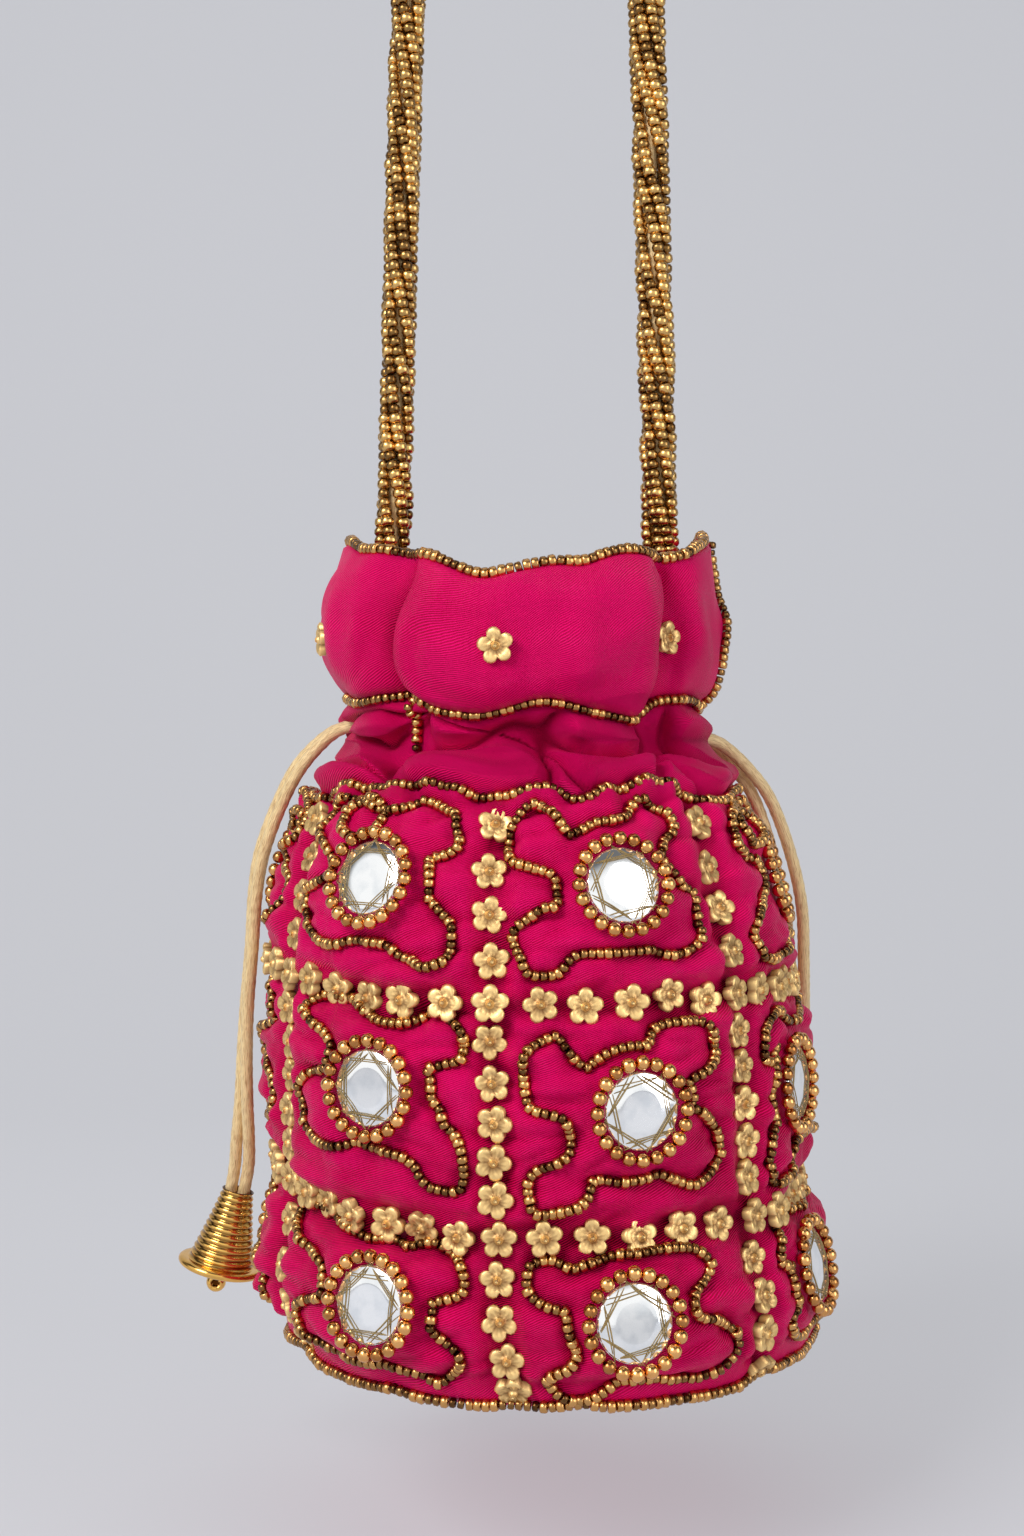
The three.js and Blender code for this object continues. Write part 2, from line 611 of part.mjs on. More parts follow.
function baseBeads() {
  const points = [];
  for (let i = 0; i < SKIN_SEGMENTS; i += 1) {
    const angle = (360 * i) / SKIN_SEGMENTS;
    points.push(place(angle, BASE_RADIUS, -BEAD_LIFT));
    points.push(place(angle, BASE_RADIUS - SEED_DIAMETER / 2, -BEAD_LIFT - SEED_DIAMETER));
    points.push(place(angle, BASE_RADIUS - SEED_DIAMETER, -BEAD_LIFT));
  }
  return solid(points, stitchRings(SKIN_SEGMENTS, 3, { closedRings: true, closedPath: true }));
}

addPart('base_beads', baseBeads(), seedBronze);

// A plain round cord along hand-chosen points.
function cordTube(points, stepCount) {
  const section = new THREE.Shape();
  for (let i = 0; i <= 8; i += 1) {
    const turn = (Math.PI * 2 * i) / 8;
    const [x, y] = [CORD_RADIUS * Math.cos(turn), CORD_RADIUS * Math.sin(turn)];
    if (i === 0) section.moveTo(x, y);
    else section.lineTo(x, y);
  }
  const extrudePath = new THREE.CatmullRomCurve3(points.map((p) => new THREE.Vector3(...p)));
  return new THREE.ExtrudeGeometry(section, { steps: stepCount, extrudePath, bevelEnabled: false });
}

// The hidden turn of each drawcord in the casing, open where its ends pass out through a slit.
const TURN_OPENING = 14;

function casingTurn(side, height) {
  const middle = side * 90;
  const points = steps(middle + TURN_OPENING, middle + 360 - TURN_OPENING, 36).map((angle) => {
    return place(angle, CORD_TURN_RADIUS, height);
  });
  return cordTube(points, TURN_STEPS);
}

addPart('left_drawcord_turn', casingTurn(-1, LEFT_CORD_HEIGHT), cordGold);
addPart('right_drawcord_turn', casingTurn(1, RIGHT_CORD_HEIGHT), cordGold);

// Free strands, from the casing to their bell, with each point's rise over the cord's turn in the casing.
// The first two points follow the casing's slit.
const LEFT_OUTER_STRAND = [
  [-36.5, 6.2, 0], [-41.2, 3.6, 0], [-47.4, 2.6, -2], [-54.9, 4, -9], [-59.9, 5.4, -17.9],
  [-64.5, 6.6, -29.8], [-66.3, 7.6, -40], [-67.2, 8.6, -53.2], [-68.5, 9.6, -66.6], [-69.4, 10.2, -78.9],
  [-70.1, 10.8, -91.2], [-71.1, 11.4, -101.2], [-71.8, 12.4, -108.7], [-73.8, 13, -119.1],
];
const LEFT_INNER_STRAND = [
  [-36.5, -6.2, 0], [-41, -3.4, 0], [-46.8, -0.6, -2.4], [-53.8, 0.7, -9.8], [-58.8, 2, -18.8],
  [-63.2, 3.1, -30.4], [-65.2, 4.2, -40.6], [-66.3, 5.2, -53.6], [-67.5, 6.2, -67], [-68, 7, -79.2],
  [-68, 8, -91.2], [-67.9, 10, -100.8], [-68.4, 12.2, -108.6], [-70.8, 13, -119.9],
];
const RIGHT_OUTER_STRAND = [
  [36.8, -6.2, 0], [41, -3, 0.5], [46.6, 0.4, -1.1], [53.4, 2.6, -7.1], [59.2, 6, -14.7], [64.5, 10, -27.7],
  [67.6, 12.4, -40.7], [68.9, 17.4, -54.2], [69.9, 23.2, -68.2], [70.4, 29, -79.7], [69.6, 37, -90.7],
  [67.8, 44.6, -97.7], [66.15, 51.3, -103.3], [66.15, 51.5, -111.5],
];
const RIGHT_INNER_STRAND = [
  [36.8, 6.2, 0], [41.6, 4.6, 0.2], [48, 5, -4.5], [54.1, 6.8, -12], [58.1, 8.6, -21.5],
  [60.8, 10.8, -30.7], [64, 15.4, -42.7], [66, 20.8, -54.7], [67.2, 26.6, -66.7], [67.5, 32.4, -78.2],
  [66.4, 39.6, -89.1], [64.4, 46.4, -97.1], [63.05, 51.3, -103.1], [63.05, 51.5, -111.5],
];

function addStrand(name, points, cordHeight) {
  const raised = points.map(([x, y, rise]) => [x, y, cordHeight + rise]);
  addPart(name, cordTube(raised, STRAND_STEPS), cordGold);
}

addStrand('left_outer_strand', LEFT_OUTER_STRAND, LEFT_CORD_HEIGHT);
addStrand('left_inner_strand', LEFT_INNER_STRAND, LEFT_CORD_HEIGHT);
addStrand('right_outer_strand', RIGHT_OUTER_STRAND, RIGHT_CORD_HEIGHT);
addStrand('right_inner_strand', RIGHT_INNER_STRAND, RIGHT_CORD_HEIGHT);

// Bells: ribbed spun cones with a rolled lip, open below, that the cord's two ends enter from above.
const BELL_THROAT_RADIUS = CORD_DIAMETER + TOUCH_GAP;
const BELL_SEGMENTS = 12;
const BELL_KNOT_TOP = 13.4;
const BELL_KNOT_DEPTH = 2.2;

// The cone narrows quickly above the lip and slowly towards the top.
function bellRadius(height) {
  const share = (height - BELL_LIP) / (BELL_HEIGHT - BELL_LIP);
  return BELL_TOP_RADIUS + (BELL_WAIST_RADIUS - BELL_TOP_RADIUS) * (1 - Math.max(share, 0)) ** 1.15;
}

function bellGeometry() {
  const ribs = steps(BELL_LIP, BELL_HEIGHT, BELL_RIBS * 2).map((height, i) => {
    return new THREE.Vector2(bellRadius(height) - (i % 2 === 0 ? BELL_RIB_DEPTH : 0), height);
  });
  const inside = [BELL_HEIGHT * 0.86, BELL_HEIGHT * 0.4, BELL_LIP].map((height) => {
    return new THREE.Vector2(bellRadius(height) - BELL_RIB_DEPTH - BELL_WALL, height);
  });
  const profile = [
    new THREE.Vector2(BELL_MOUTH_RADIUS - BELL_WALL, 0),
    new THREE.Vector2(BELL_MOUTH_RADIUS, BELL_LIP * 0.35),
    new THREE.Vector2(BELL_MOUTH_RADIUS, BELL_LIP * 0.75),
    ...ribs,
    new THREE.Vector2(BELL_THROAT_RADIUS, BELL_HEIGHT),
    ...inside,
    new THREE.Vector2(BELL_WAIST_RADIUS - BELL_WALL, 0),
  ];
  return turned([...profile, profile[0]], BELL_SEGMENTS);
}

// A lathe turned about +Z.
function turned(profile, segments) {
  const lathe = new THREE.LatheGeometry(profile, segments);
  lathe.rotateX(Math.PI / 2);
  const points = [];
  const position = lathe.getAttribute('position');
  for (let i = 0; i < position.count; i += 1) {
    points.push([position.getX(i), position.getY(i), position.getZ(i)]);
  }
  const index = lathe.getIndex().array;
  const triangles = [];
  for (let i = 0; i < index.length; i += 3) triangles.push([index[i], index[i + 1], index[i + 2]]);
  return solid(points, triangles);
}

// The bell's pin: a knot head that the bell hangs on, a wire and a round bead below the mouth.
function pinGeometry() {
  const bead = BELL_BEAD_DIAMETER / 2;
  const wire = BELL_WIRE_DIAMETER / 2;
  const knot = bellRadius(BELL_KNOT_TOP) - BELL_RIB_DEPTH - BELL_WALL - TOUCH_GAP;
  const beadTop = Math.asin(wire / bead);
  const ball = steps(Math.PI, beadTop, 6).map((turn) => {
    return new THREE.Vector2(Math.max(bead * Math.sin(turn), 0), -BELL_BEAD_DROP + bead * Math.cos(turn));
  });
  ball[0].x = 0;
  const head = [
    new THREE.Vector2(wire, BELL_KNOT_TOP - BELL_KNOT_DEPTH),
    new THREE.Vector2(knot, BELL_KNOT_TOP - wire),
    new THREE.Vector2(knot, BELL_KNOT_TOP),
    new THREE.Vector2(0, BELL_KNOT_TOP),
  ];
  return turned([...ball, ...head], 8);
}

// Each bell hangs under its cord's turn at the end of its two strands, and the left one has swung outwards.
const BELLS = [
  { side: 'left', x: -75.6, y: 13, mouth: LEFT_CORD_HEIGHT - 133.3, tilt: 13.5 },
  { side: 'right', x: 64.6, y: 51.5, mouth: RIGHT_CORD_HEIGHT - 125.7, tilt: 0 },
];
for (const { side, x, y, mouth, tilt } of BELLS) {
  const bell = new THREE.Group();
  bell.position.set(x, y, mouth);
  bell.rotation.y = radians(tilt);
  bag.add(bell);
  addPart(`${side}_bell`, bellGeometry(), brightGold, bell);
  addPart(`${side}_bell_pin`, pinGeometry(), brightGold, bell);
}

// Handle: a rope of twisted bead strands, sewn inside the collar at both sides.
function handlePath() {
  const foot = collarInside(HANDLE_FOOT_HEIGHT) - HANDLE_RADIUS - TOUCH_GAP - Math.abs(lean(HANDLE_FOOT_HEIGHT));
  const archStart = APEX_HEIGHT - HANDLE_ARCH;
  const leg = [
    [foot, HANDLE_FOOT_HEIGHT],
    [(foot + HANDLE_SPREAD) / 2, (HANDLE_FOOT_HEIGHT + RIM_HEIGHT) / 2],
    [HANDLE_SPREAD, RIM_HEIGHT],
    [(HANDLE_SPREAD + HANDLE_TOP_SPREAD) / 2, (RIM_HEIGHT + archStart) / 2],
    [HANDLE_TOP_SPREAD, archStart],
  ];
  const arch = steps(0, 90, 4).slice(1).map((turn) => {
    return [HANDLE_TOP_SPREAD * Math.cos(radians(turn)), archStart + HANDLE_ARCH * Math.sin(radians(turn))];
  });
  const half = [...leg, ...arch].map(([x, z]) => new THREE.Vector3(x, 0, z));
  const other = half.slice(0, -1).reverse().map(({ x, z }) => new THREE.Vector3(-x, 0, z));
  return new THREE.CatmullRomCurve3([...half, ...other]);
}

function handleRope() {
  const curve = handlePath();
  const length = curve.getLength();
  const corners = HANDLE_STRANDS * 2;
  const points = [];
  for (let i = 0; i <= HANDLE_STEPS; i += 1) {
    const centre = curve.getPointAt(i / HANDLE_STEPS);
    const along = curve.getTangentAt(i / HANDLE_STEPS);
    const across = new THREE.Vector3(0, 1, 0);
    const out = new THREE.Vector3().crossVectors(along, across);
    const twist = (-2 * Math.PI * length * i) / HANDLE_STEPS / HANDLE_TWIST_PITCH;
    for (let j = 0; j < corners; j += 1) {
      const turn = twist + (Math.PI * 2 * j) / corners;
      const reach = HANDLE_RADIUS - (j % 2 === 0 ? 0 : HANDLE_GROOVE);
      const corner = centre.clone().addScaledVector(across, reach * Math.cos(turn));
      corner.addScaledVector(out, reach * Math.sin(turn));
      points.push(corner.toArray());
    }
  }
  const triangles = stitchRings(HANDLE_STEPS + 1, corners, { closedRings: true, closedPath: false });
  const last = HANDLE_STEPS * corners;
  for (let j = 1; j < corners - 1; j += 1) {
    triangles.push([0, j + 1, j], [last, last + j, last + j + 1]);
  }
  return solid(points, triangles);
}

addPart('handle_rope', handleRope(), seedBronze);

const model = new THREE.Group();
model.add(bag);

export default model;
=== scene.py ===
"""A potli bag that hangs from a rope of twisted bead strands.

Lengths are in millimetres above the pouch's base, and angles in degrees from the front towards +X,
until to_frame() puts a point into the frame, in metres below the top of the handle.
"""

import logging
import math
from collections.abc import Callable, Mapping, Sequence
from dataclasses import dataclass, field
from enum import Enum
from typing import Any

import bpy
import numpy as np
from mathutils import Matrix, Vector
from mathutils.bvhtree import BVHTree
from mathutils.kdtree import KDTree


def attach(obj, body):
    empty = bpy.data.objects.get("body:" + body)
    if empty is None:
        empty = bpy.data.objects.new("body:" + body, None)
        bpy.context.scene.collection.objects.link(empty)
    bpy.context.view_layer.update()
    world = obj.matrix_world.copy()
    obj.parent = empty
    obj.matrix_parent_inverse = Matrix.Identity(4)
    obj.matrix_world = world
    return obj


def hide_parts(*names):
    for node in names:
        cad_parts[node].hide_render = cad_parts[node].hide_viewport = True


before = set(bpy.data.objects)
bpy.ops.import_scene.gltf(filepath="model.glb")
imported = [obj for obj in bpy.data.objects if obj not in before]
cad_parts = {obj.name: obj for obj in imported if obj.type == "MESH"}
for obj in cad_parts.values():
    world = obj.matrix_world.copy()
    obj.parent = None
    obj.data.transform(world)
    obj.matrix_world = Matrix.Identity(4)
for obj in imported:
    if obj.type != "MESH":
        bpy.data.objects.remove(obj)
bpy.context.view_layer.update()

LOG = logging.getLogger("potli_bag")
Array = np.ndarray
Colour = tuple[float, float, float]
Point = tuple[float, float, float]
Pairs = tuple[tuple[float, float], ...]
Waves = tuple[tuple[float, int, float], ...]
BODY = "root"
APEX_HEIGHT = 363.0
MM = 0.001
FAN_LENGTH = 30.0


# Form of the bag


@dataclass(frozen=True)
class BagForm:
    """The shape that the cloth and everything sewn on it share."""

    base_radius: float = 54.0
    base_corner: float = 11.5
    lower_row: float = 37.0
    upper_row: float = 84.5
    pouch_height: float = 128.5
    seam_height: float = 145.0
    rim_height: float = 187.0
    rim_dip: float = 10.0
    side_lean: float = 3.0
    lean_start: float = 105.0
    base_lean: float = 2.8
    base_lean_start: float = 26.0
    row_rises: tuple[float, ...] = (0.0, 6.5, 4.2, 0.0)
    rise_angle: float = -82.0
    rise_width: float = 32.0
    cell_puff: float = 1.9
    pleat_depth: float = 3.6
    pleat_width: float = 7.0
    pleat_growth: float = 8.0
    seams: tuple[float, ...] = (-62.5, -8.0, 45.5, 110.0, 172.0, 234.0)
    pleats: tuple[float, ...] = (-42.0, 46.0, 136.0, -134.0)
    knots: Pairs = (
        (11.5, 65.5),
        (20.0, 65.8),
        (37.0, 63.6),
        (84.5, 61.6),
        (112.0, 55.8),
        (128.5, 48.8),
        (138.4, 41.5),
        (145.0, 43.6),
        (163.9, 47.4),
        (187.0, 42.8),
    )

    def profile(self, height: Array) -> Array:
        """Radius of the smooth profile.

        Args:
            height: Heights above the base.

        Returns:
            One radius for each height.
        """
        height = np.asarray(height, float)
        at, radii = np.array(self.knots).T
        slope = np.gradient(radii, at)
        slope[1:-1] = (radii[2:] - radii[:-2]) / (at[2:] - at[:-2])
        k = np.clip(np.searchsorted(at, height, "right") - 1, 0, len(at) - 2)
        span = at[k + 1] - at[k]
        t = np.clip((height - at[k]) / span, 0, 1)
        smooth = radii[k] + (radii[k + 1] - radii[k]) * t * t * (3 - 2 * t)
        bend = t * (1 - t) * span * ((1 - t) * slope[k] - t * slope[k + 1])
        drop = self.base_corner - np.clip(height, 0, self.base_corner)
        corner = self.base_radius + np.sqrt(np.maximum(self.base_corner**2 - drop**2, 0))
        return np.where(height < self.base_corner, corner, smooth + bend)

    def panel_width(self, panel: int) -> float:
        """Degrees between a panel's two seams."""
        return (self.seams[(panel + 1) % len(self.seams)] - self.seams[panel]) % 360

    def panel_share(self, angle: Array) -> Array:
        """How far between its two seams each angle lies.

        Args:
            angle: Angles in degrees.

        Returns:
            Shares from 0 at one seam to 1 at the next.
        """
        angle = np.asarray(angle, float)
        share = np.zeros_like(angle)
        for k, seam in enumerate(self.seams):
            along = (angle - seam) % 360
            share = np.where(along < self.panel_width(k), along / self.panel_width(k), share)
        return share

    def puff(self, angle: Array, height: Array) -> Array:
        """How far the padding stands out between the sewn rows and columns.

        Args:
            angle: Angles in degrees.
            height: Heights above the base.

        Returns:
            One distance for each point.
        """
        rows = np.array([0.0, self.lower_row, self.upper_row, self.pouch_height])
        height = np.asarray(height, float)
        k = np.clip(np.searchsorted(rows, height, "right") - 1, 0, 2)
        up = np.clip((height - rows[k]) / (rows[k + 1] - rows[k]), 0, 1)
        across = np.sin(np.pi * self.panel_share(angle)) ** 0.6
        return self.cell_puff * across * np.sin(np.pi * up) ** 0.7

    def folds(self, angle: Array, height: Array) -> Array:
        """Depth of the pleats above the pouch, as a distance inwards.

        Args:
            angle: Angles in degrees.
            height: Heights above the base.

        Returns:
            One distance for each point.
        """
        angle, height = np.asarray(angle, float), np.asarray(height, float)
        grow = ramp_up(height - self.pouch_height, self.pleat_growth)
        return grow * sum(
            self.pleat_depth * fade(turn_between(pleat, angle), self.pleat_width)
            for pleat in self.pleats
        )

    def skin(self, angle: Array, height: Array) -> Array:
        """Radius of the cloth's outside."""
        return self.profile(height) + self.puff(angle, height) - self.folds(angle, height)

    def lean(self, height: Array) -> Array:
        """How far the pouch hangs to one side.

        Args:
            height: Heights above the base.

        Returns:
            One distance for each height.
        """
        height = np.asarray(height, float)
        base = self.base_lean * np.clip(1 - height / self.base_lean_start, 0, 1) ** 1.5
        return self.side_lean * np.maximum(1 - height / self.lean_start, 0) ** 0.7 + base

    def rise(self, angle: Array, height: Array) -> Array:
        """How much higher than level the sewn work runs near the side where the pouch is pulled up.

        Args:
            angle: Angles in degrees.
            height: Heights above the base.

        Returns:
            One distance for each point.
        """
        rows = (0.0, self.lower_row, self.upper_row, self.pouch_height)
        share = fade(turn_between(self.rise_angle, angle), self.rise_width)
        return share * np.interp(height, rows, self.row_rises)

    def place(self, angle: Array, radius: Array, height: Array) -> Array:
        """Points round the bag's leaning axis.

        Args:
            angle: Angles in degrees.
            radius: Distances from the axis.
            height: Heights above the base.

        Returns:
            Points in millimetres.
        """
        turn = np.radians(angle)
        x = radius * np.sin(turn) + self.lean(height)
        return np.stack(np.broadcast_arrays(x, -radius * np.cos(turn), height), -1)

    def on_skin(self, angle: Array, height: Array, lift: Array | float) -> Array:
        """Points lifted off the cloth along its slope.

        Args:
            angle: Angles in degrees.
            height: Heights above the base.
            lift: Distance off the cloth.

        Returns:
            Points in millimetres, one for each angle.
        """
        angle, height = np.asarray(angle, float), np.asarray(height, float)
        bare = self.place(angle, self.skin(angle, height), height)
        return bare + self.normal(angle, height) * np.asarray(lift)[..., None]

    def normal(self, angle: Array, height: Array) -> Array:
        """Unit vectors that stand on the cloth.

        Args:
            angle: Angles in degrees.
            height: Heights above the base.

        Returns:
            One vector for each point.
        """
        step = 0.6
        up = self.place(angle, self.skin(angle, height + step), height + step)
        down = self.place(angle, self.skin(angle, np.maximum(height - step, 0)), np.maximum(height - step, 0))
        right = self.place(angle + step, self.skin(angle + step, height), height)
        left = self.place(angle - step, self.skin(angle - step, height), height)
        return unit(np.cross(right - left, up - down))

    def rim(self, angle: Array) -> Array:
        """Height of the collar's rim, which dips at the front and the back."""
        return self.rim_height - self.rim_dip * np.abs(np.cos(np.radians(angle))) ** 1.5


FORM = BagForm()


def turn_between(start: float, angle: Array) -> Array:
    """The shortest turn from one angle to others."""
    return (np.asarray(angle) - start + 180) % 360 - 180


def fade(distance: Array, width: float, power: int = 2) -> Array:
    """A smooth bump, 1 at no distance and fading past a width."""
    return np.exp(-((distance / width) ** power))


def ramp_up(distance: Array, span: float) -> Array:
    """A straight rise from 0 to 1 over a span."""
    return np.clip(distance / span, 0, 1)


def unit(vectors: Array) -> Array:
    """The same directions with length one."""
    return vectors / np.maximum(np.linalg.norm(vectors, axis=-1, keepdims=True), 1e-9)


def to_frame(points: Array) -> Array:
    """Points in the frame, in metres, from millimetres above the base."""
    return (np.asarray(points, float) - (0, 0, APEX_HEIGHT)) * MM


def soft_noise(points: Array, size: float, seed: int) -> Array:
    """Smooth noise from about -1 to 1.

    Args:
        points: Points in millimetres.
        size: Width of its bumps in millimetres.
        seed: Fixed seed of its waves.

    Returns:
        One value for each point.
    """
    waves = 18
    rng = np.random.default_rng(seed)
    turns = unit(rng.normal(size=(waves, 3))) * (2 * np.pi / (size * rng.uniform(0.8, 2.2, (waves, 1))))
    phases = rng.uniform(0, 2 * np.pi, waves)
    return np.cos(points @ turns.T + phases).sum(-1) / math.sqrt(waves * 1.4)


def smooth_line(points: Sequence[Sequence[float]], count: int, closed: bool = False) -> Array:
    """A smooth curve through points.

    Args:
        points: Points that the curve passes.
        count: Number of points to return.
        closed: Whether the curve returns to its start.

    Returns:
        Points evenly spaced along the curve.
    """
    knots = np.asarray(points, float)
    if closed:
        knots = np.vstack([knots[-1], knots, knots[:2]])
    else:
        knots = np.vstack([2 * knots[0] - knots[1], knots, 2 * knots[-1] - knots[-2]])
    parts = []
    t = np.linspace(0, 1, 24, endpoint=False)[:, None]
    for a, b, c, d in zip(knots[:-3], knots[1:-2], knots[2:-1], knots[3:]):
        bend, twist = 2 * a - 5 * b + 4 * c - d, 3 * b - a - 3 * c + d
        parts.append(0.5 * (2 * b + (c - a) * t + bend * t**2 + twist * t**3))
    dense = np.vstack([*parts, knots[-2][None]])
    along = np.concatenate([[0], np.cumsum(np.linalg.norm(np.diff(dense, axis=0), axis=1))])
    stops = np.linspace(0, along[-1], count, endpoint=not closed)
    return np.stack([np.interp(stops, along, column) for column in dense.T], -1)


# Meshes


def new_object(name: str, mesh: bpy.types.Mesh) -> bpy.types.Object:
    """An object at the origin that holds a mesh.

    Args:
        name: Name of the object.
        mesh: Its mesh.

    Returns:
        The object, linked to the scene.
    """
    made = bpy.data.objects.new(name, mesh)
    bpy.context.scene.collection.objects.link(made)
    return made


def shade_smooth(mesh: bpy.types.Mesh) -> None:
    """Shades every face of a mesh smooth."""
    mesh.polygons.foreach_set("use_smooth", [True] * len(mesh.polygons))
    mesh.update()


def ring_mesh(
    name: str,
    rings: Array,
    closed_path: bool = False,
    poles: tuple[bool, bool] = (False, False),
) -> bpy.types.Object:
    """A surface stitched between rings of points, with a UV map in millimetres.

    Args:
        name: Name of the object.
        rings: Points in millimetres, as rings by points by three.
        closed_path: Whether the last ring is stitched to the first.
        poles: Whether the first and the last ring are closed by a fan.

    Returns:
        The object, in the frame.
    """
    ring_count, size, _ = rings.shape
    rows, columns = np.meshgrid(
        np.arange(ring_count if closed_path else ring_count - 1), np.arange(size), indexing="ij"
    )
    next_row, next_column = (rows + 1) % ring_count, (columns + 1) % size
    corners = ((rows, columns), (rows, next_column), (next_row, next_column), (next_row, columns))
    faces = np.stack([r * size + c for r, c in corners], -1).reshape(-1, 4).tolist()
    points = rings.reshape(-1, 3)
    around = np.linalg.norm(np.diff(np.concatenate([rings, rings[:, :1]], 1), axis=1), axis=2).max(0)
    along = np.linalg.norm(np.diff(rings, axis=0), axis=2).max(1)
    u = np.concatenate([[0], np.cumsum(around)])
    v = np.concatenate([[0], np.cumsum(along), [np.sum(along) + 1]])
    stops = ((rows, columns), (rows, columns + 1), (rows + 1, columns + 1), (rows + 1, columns))
    uv = np.stack([np.stack([u[c], v[r]], -1) for r, c in stops], 2).reshape(-1, 2)
    for end, row in ((0, 0), (1, ring_count - 1)):
        if poles[end]:
            pole = len(points)
            points = np.vstack([points, rings[row].mean(0)])
            for c in range(size):
                pair = [row * size + c, row * size + (c + 1) % size]
                faces.append([*(pair[::-1] if end == 0 else pair), pole])
                edge = [[u[c], v[row]], [u[c + 1], v[row]]]
                tip = [u[c], v[row] + FAN_LENGTH * (1 if end else -1)]
                uv = np.vstack([uv, *(edge[::-1] if end == 0 else edge), tip])
    mesh = bpy.data.meshes.new(name)
    mesh.from_pydata(to_frame(points).tolist(), [], faces)
    mesh.uv_layers.new(name="cloth").data.foreach_set("uv", uv.astype(np.float32).ravel())
    shade_smooth(mesh)
    return new_object(name, mesh)


def set_painted_shade(piece: bpy.types.Object, values: Array) -> None:
    """Keeps painted shade on a cloth for its finish: how dark each point is drawn, deepest in folds, creases
    and along sewn lines.

    Args:
        piece: The cloth.
        values: Painted shade from 0 to 1 of its first points. The others get none.
    """
    full = np.zeros(len(piece.data.vertices), np.float32)
    full[: values.size] = np.clip(values, 0, 1).ravel()
    # The attribute named depth holds painted shade, not a depth.
    piece.data.attributes.new("depth", "FLOAT", "POINT").data.foreach_set("value", full)


def turned(profile: Sequence[tuple[float, float]], segments: int) -> tuple[Array, list[list[int]]]:
    """A closed ring section turned about +Z.

    Args:
        profile: Radius and height pairs, in a loop.
        segments: Number of steps round the axis.

    Returns:
        Points and faces.
    """
    section = np.array(profile, float)
    count = len(section)
    turns = np.linspace(0, 2 * np.pi, segments, endpoint=False)
    points = np.stack(
        [
            section[:, 0][None] * np.cos(turns)[:, None],
            section[:, 0][None] * np.sin(turns)[:, None],
            np.broadcast_to(section[:, 1], (segments, count)),
        ],
        -1,
    ).reshape(-1, 3)
    faces = []
    for i in range(segments):
        for j in range(count):
            a, b = i * count, (i + 1) % segments * count
            faces.append([a + j, b + j, b + (j + 1) % count, a + (j + 1) % count])
    return points, faces


def template(name: str, points: Array, faces: Sequence[Sequence[int]], **values: Array) -> bpy.types.Object:
    """A small shape that Geometry Nodes repeat, in metres round the origin.

    Args:
        name: Name of the object.
        points: Points in millimetres.
        faces: Corners of each face.
        **values: A value for each point, kept as an attribute of that name.

    Returns:
        The object.
    """
    mesh = bpy.data.meshes.new(name)
    mesh.from_pydata((np.asarray(points) * MM).tolist(), [], [list(face) for face in faces])
    for key, value in values.items():
        mesh.attributes.new(key, "FLOAT", "POINT").data.foreach_set("value", np.asarray(value, np.float32))
    shade_smooth(mesh)
    return new_object(name, mesh)


def tube_rings(path: Array, radius: Callable[[Array, Array], Array], sides: int) -> Array:
    """Rings of points round a path.

    Args:
        path: Points along the middle.
        radius: Gives the radius from the distance along and the turn round it.
        sides: Number of points in a ring.

    Returns:
        Points as rings by points by three.
    """
    tangent = unit(np.gradient(path, axis=0))
    side = np.zeros_like(path)
    side[0] = unit(np.cross(tangent[0], (0.3, 0.9, 0.31)))
    for i in range(1, len(path)):
        side[i] = unit(side[i - 1] - tangent[i] * (side[i - 1] @ tangent[i]))
    other = np.cross(tangent, side)
    along = np.concatenate([[0], np.cumsum(np.linalg.norm(np.diff(path, axis=0), axis=1))])
    turns = np.linspace(0, 2 * np.pi, sides, endpoint=False)
    reach = radius(along[:, None], turns[None, :])[..., None]
    spread = side[:, None] * np.cos(turns)[None, :, None] + other[:, None] * np.sin(turns)[None, :, None]
    return path[:, None] + spread * reach


# Node graphs


class Graph:
    """Adds nodes to a tree and links them."""

    def __init__(self, tree: bpy.types.NodeTree) -> None:
        """Starts on a tree."""
        self.tree = tree

    def add(
        self,
        kind: str,
        inputs: Mapping[str | int, Any] | None = None,
        **settings: Any,
    ) -> bpy.types.Node:
        """Adds a node.

        Args:
            kind: Type of the node.
            inputs: Values or output sockets, by the name or place of the input.
            **settings: Properties of the node.

        Returns:
            The node.
        """
        node = self.tree.nodes.new(kind)
        for key, value in settings.items():
            setattr(node, key, value)
        for key, value in (inputs or {}).items():
            if isinstance(value, bpy.types.NodeSocket):
                self.tree.links.new(value, node.inputs[key])
            else:
                node.inputs[key].default_value = value
        return node

    def ramp(
        self,
        factor: bpy.types.NodeSocket,
        stops: Sequence[tuple[float, Sequence[float]]],
    ) -> bpy.types.NodeSocket:
        """Colours between stops.

        Args:
            factor: Socket that picks the colour.
            stops: Places from 0 to 1 with their colours.

        Returns:
            The colour socket.
        """
        node = self.add("ShaderNodeValToRGB", {"Fac": factor})
        elements = node.color_ramp.elements
        while len(elements) < len(stops):
            elements.new(0.5)
        for element, (place, colour) in zip(elements, stops):
            element.position = place
            element.color = (*colour, 1)
        return node.outputs["Color"]

    def maths(self, operation: str, *values: Any) -> bpy.types.NodeSocket:
        """The result of a sum on sockets or numbers."""
        return self.add("ShaderNodeMath", dict(enumerate(values)), operation=operation).outputs[0]

    def between(
        self,
        value: bpy.types.NodeSocket,
        start: tuple[float, float],
        end: tuple[float, float],
    ) -> bpy.types.NodeSocket:
        """A straight change between two levels, level before and after.

        Args:
            value: Socket that drives it.
            start: The value where the change starts, and the level there.
            end: The value where it ends, and the level there.

        Returns:
            The level's socket.
        """
        limits = {1: start[0], 2: end[0], 3: start[1], 4: end[1]}
        return self.add("ShaderNodeMapRange", {"Value": value, **limits}).outputs[0]


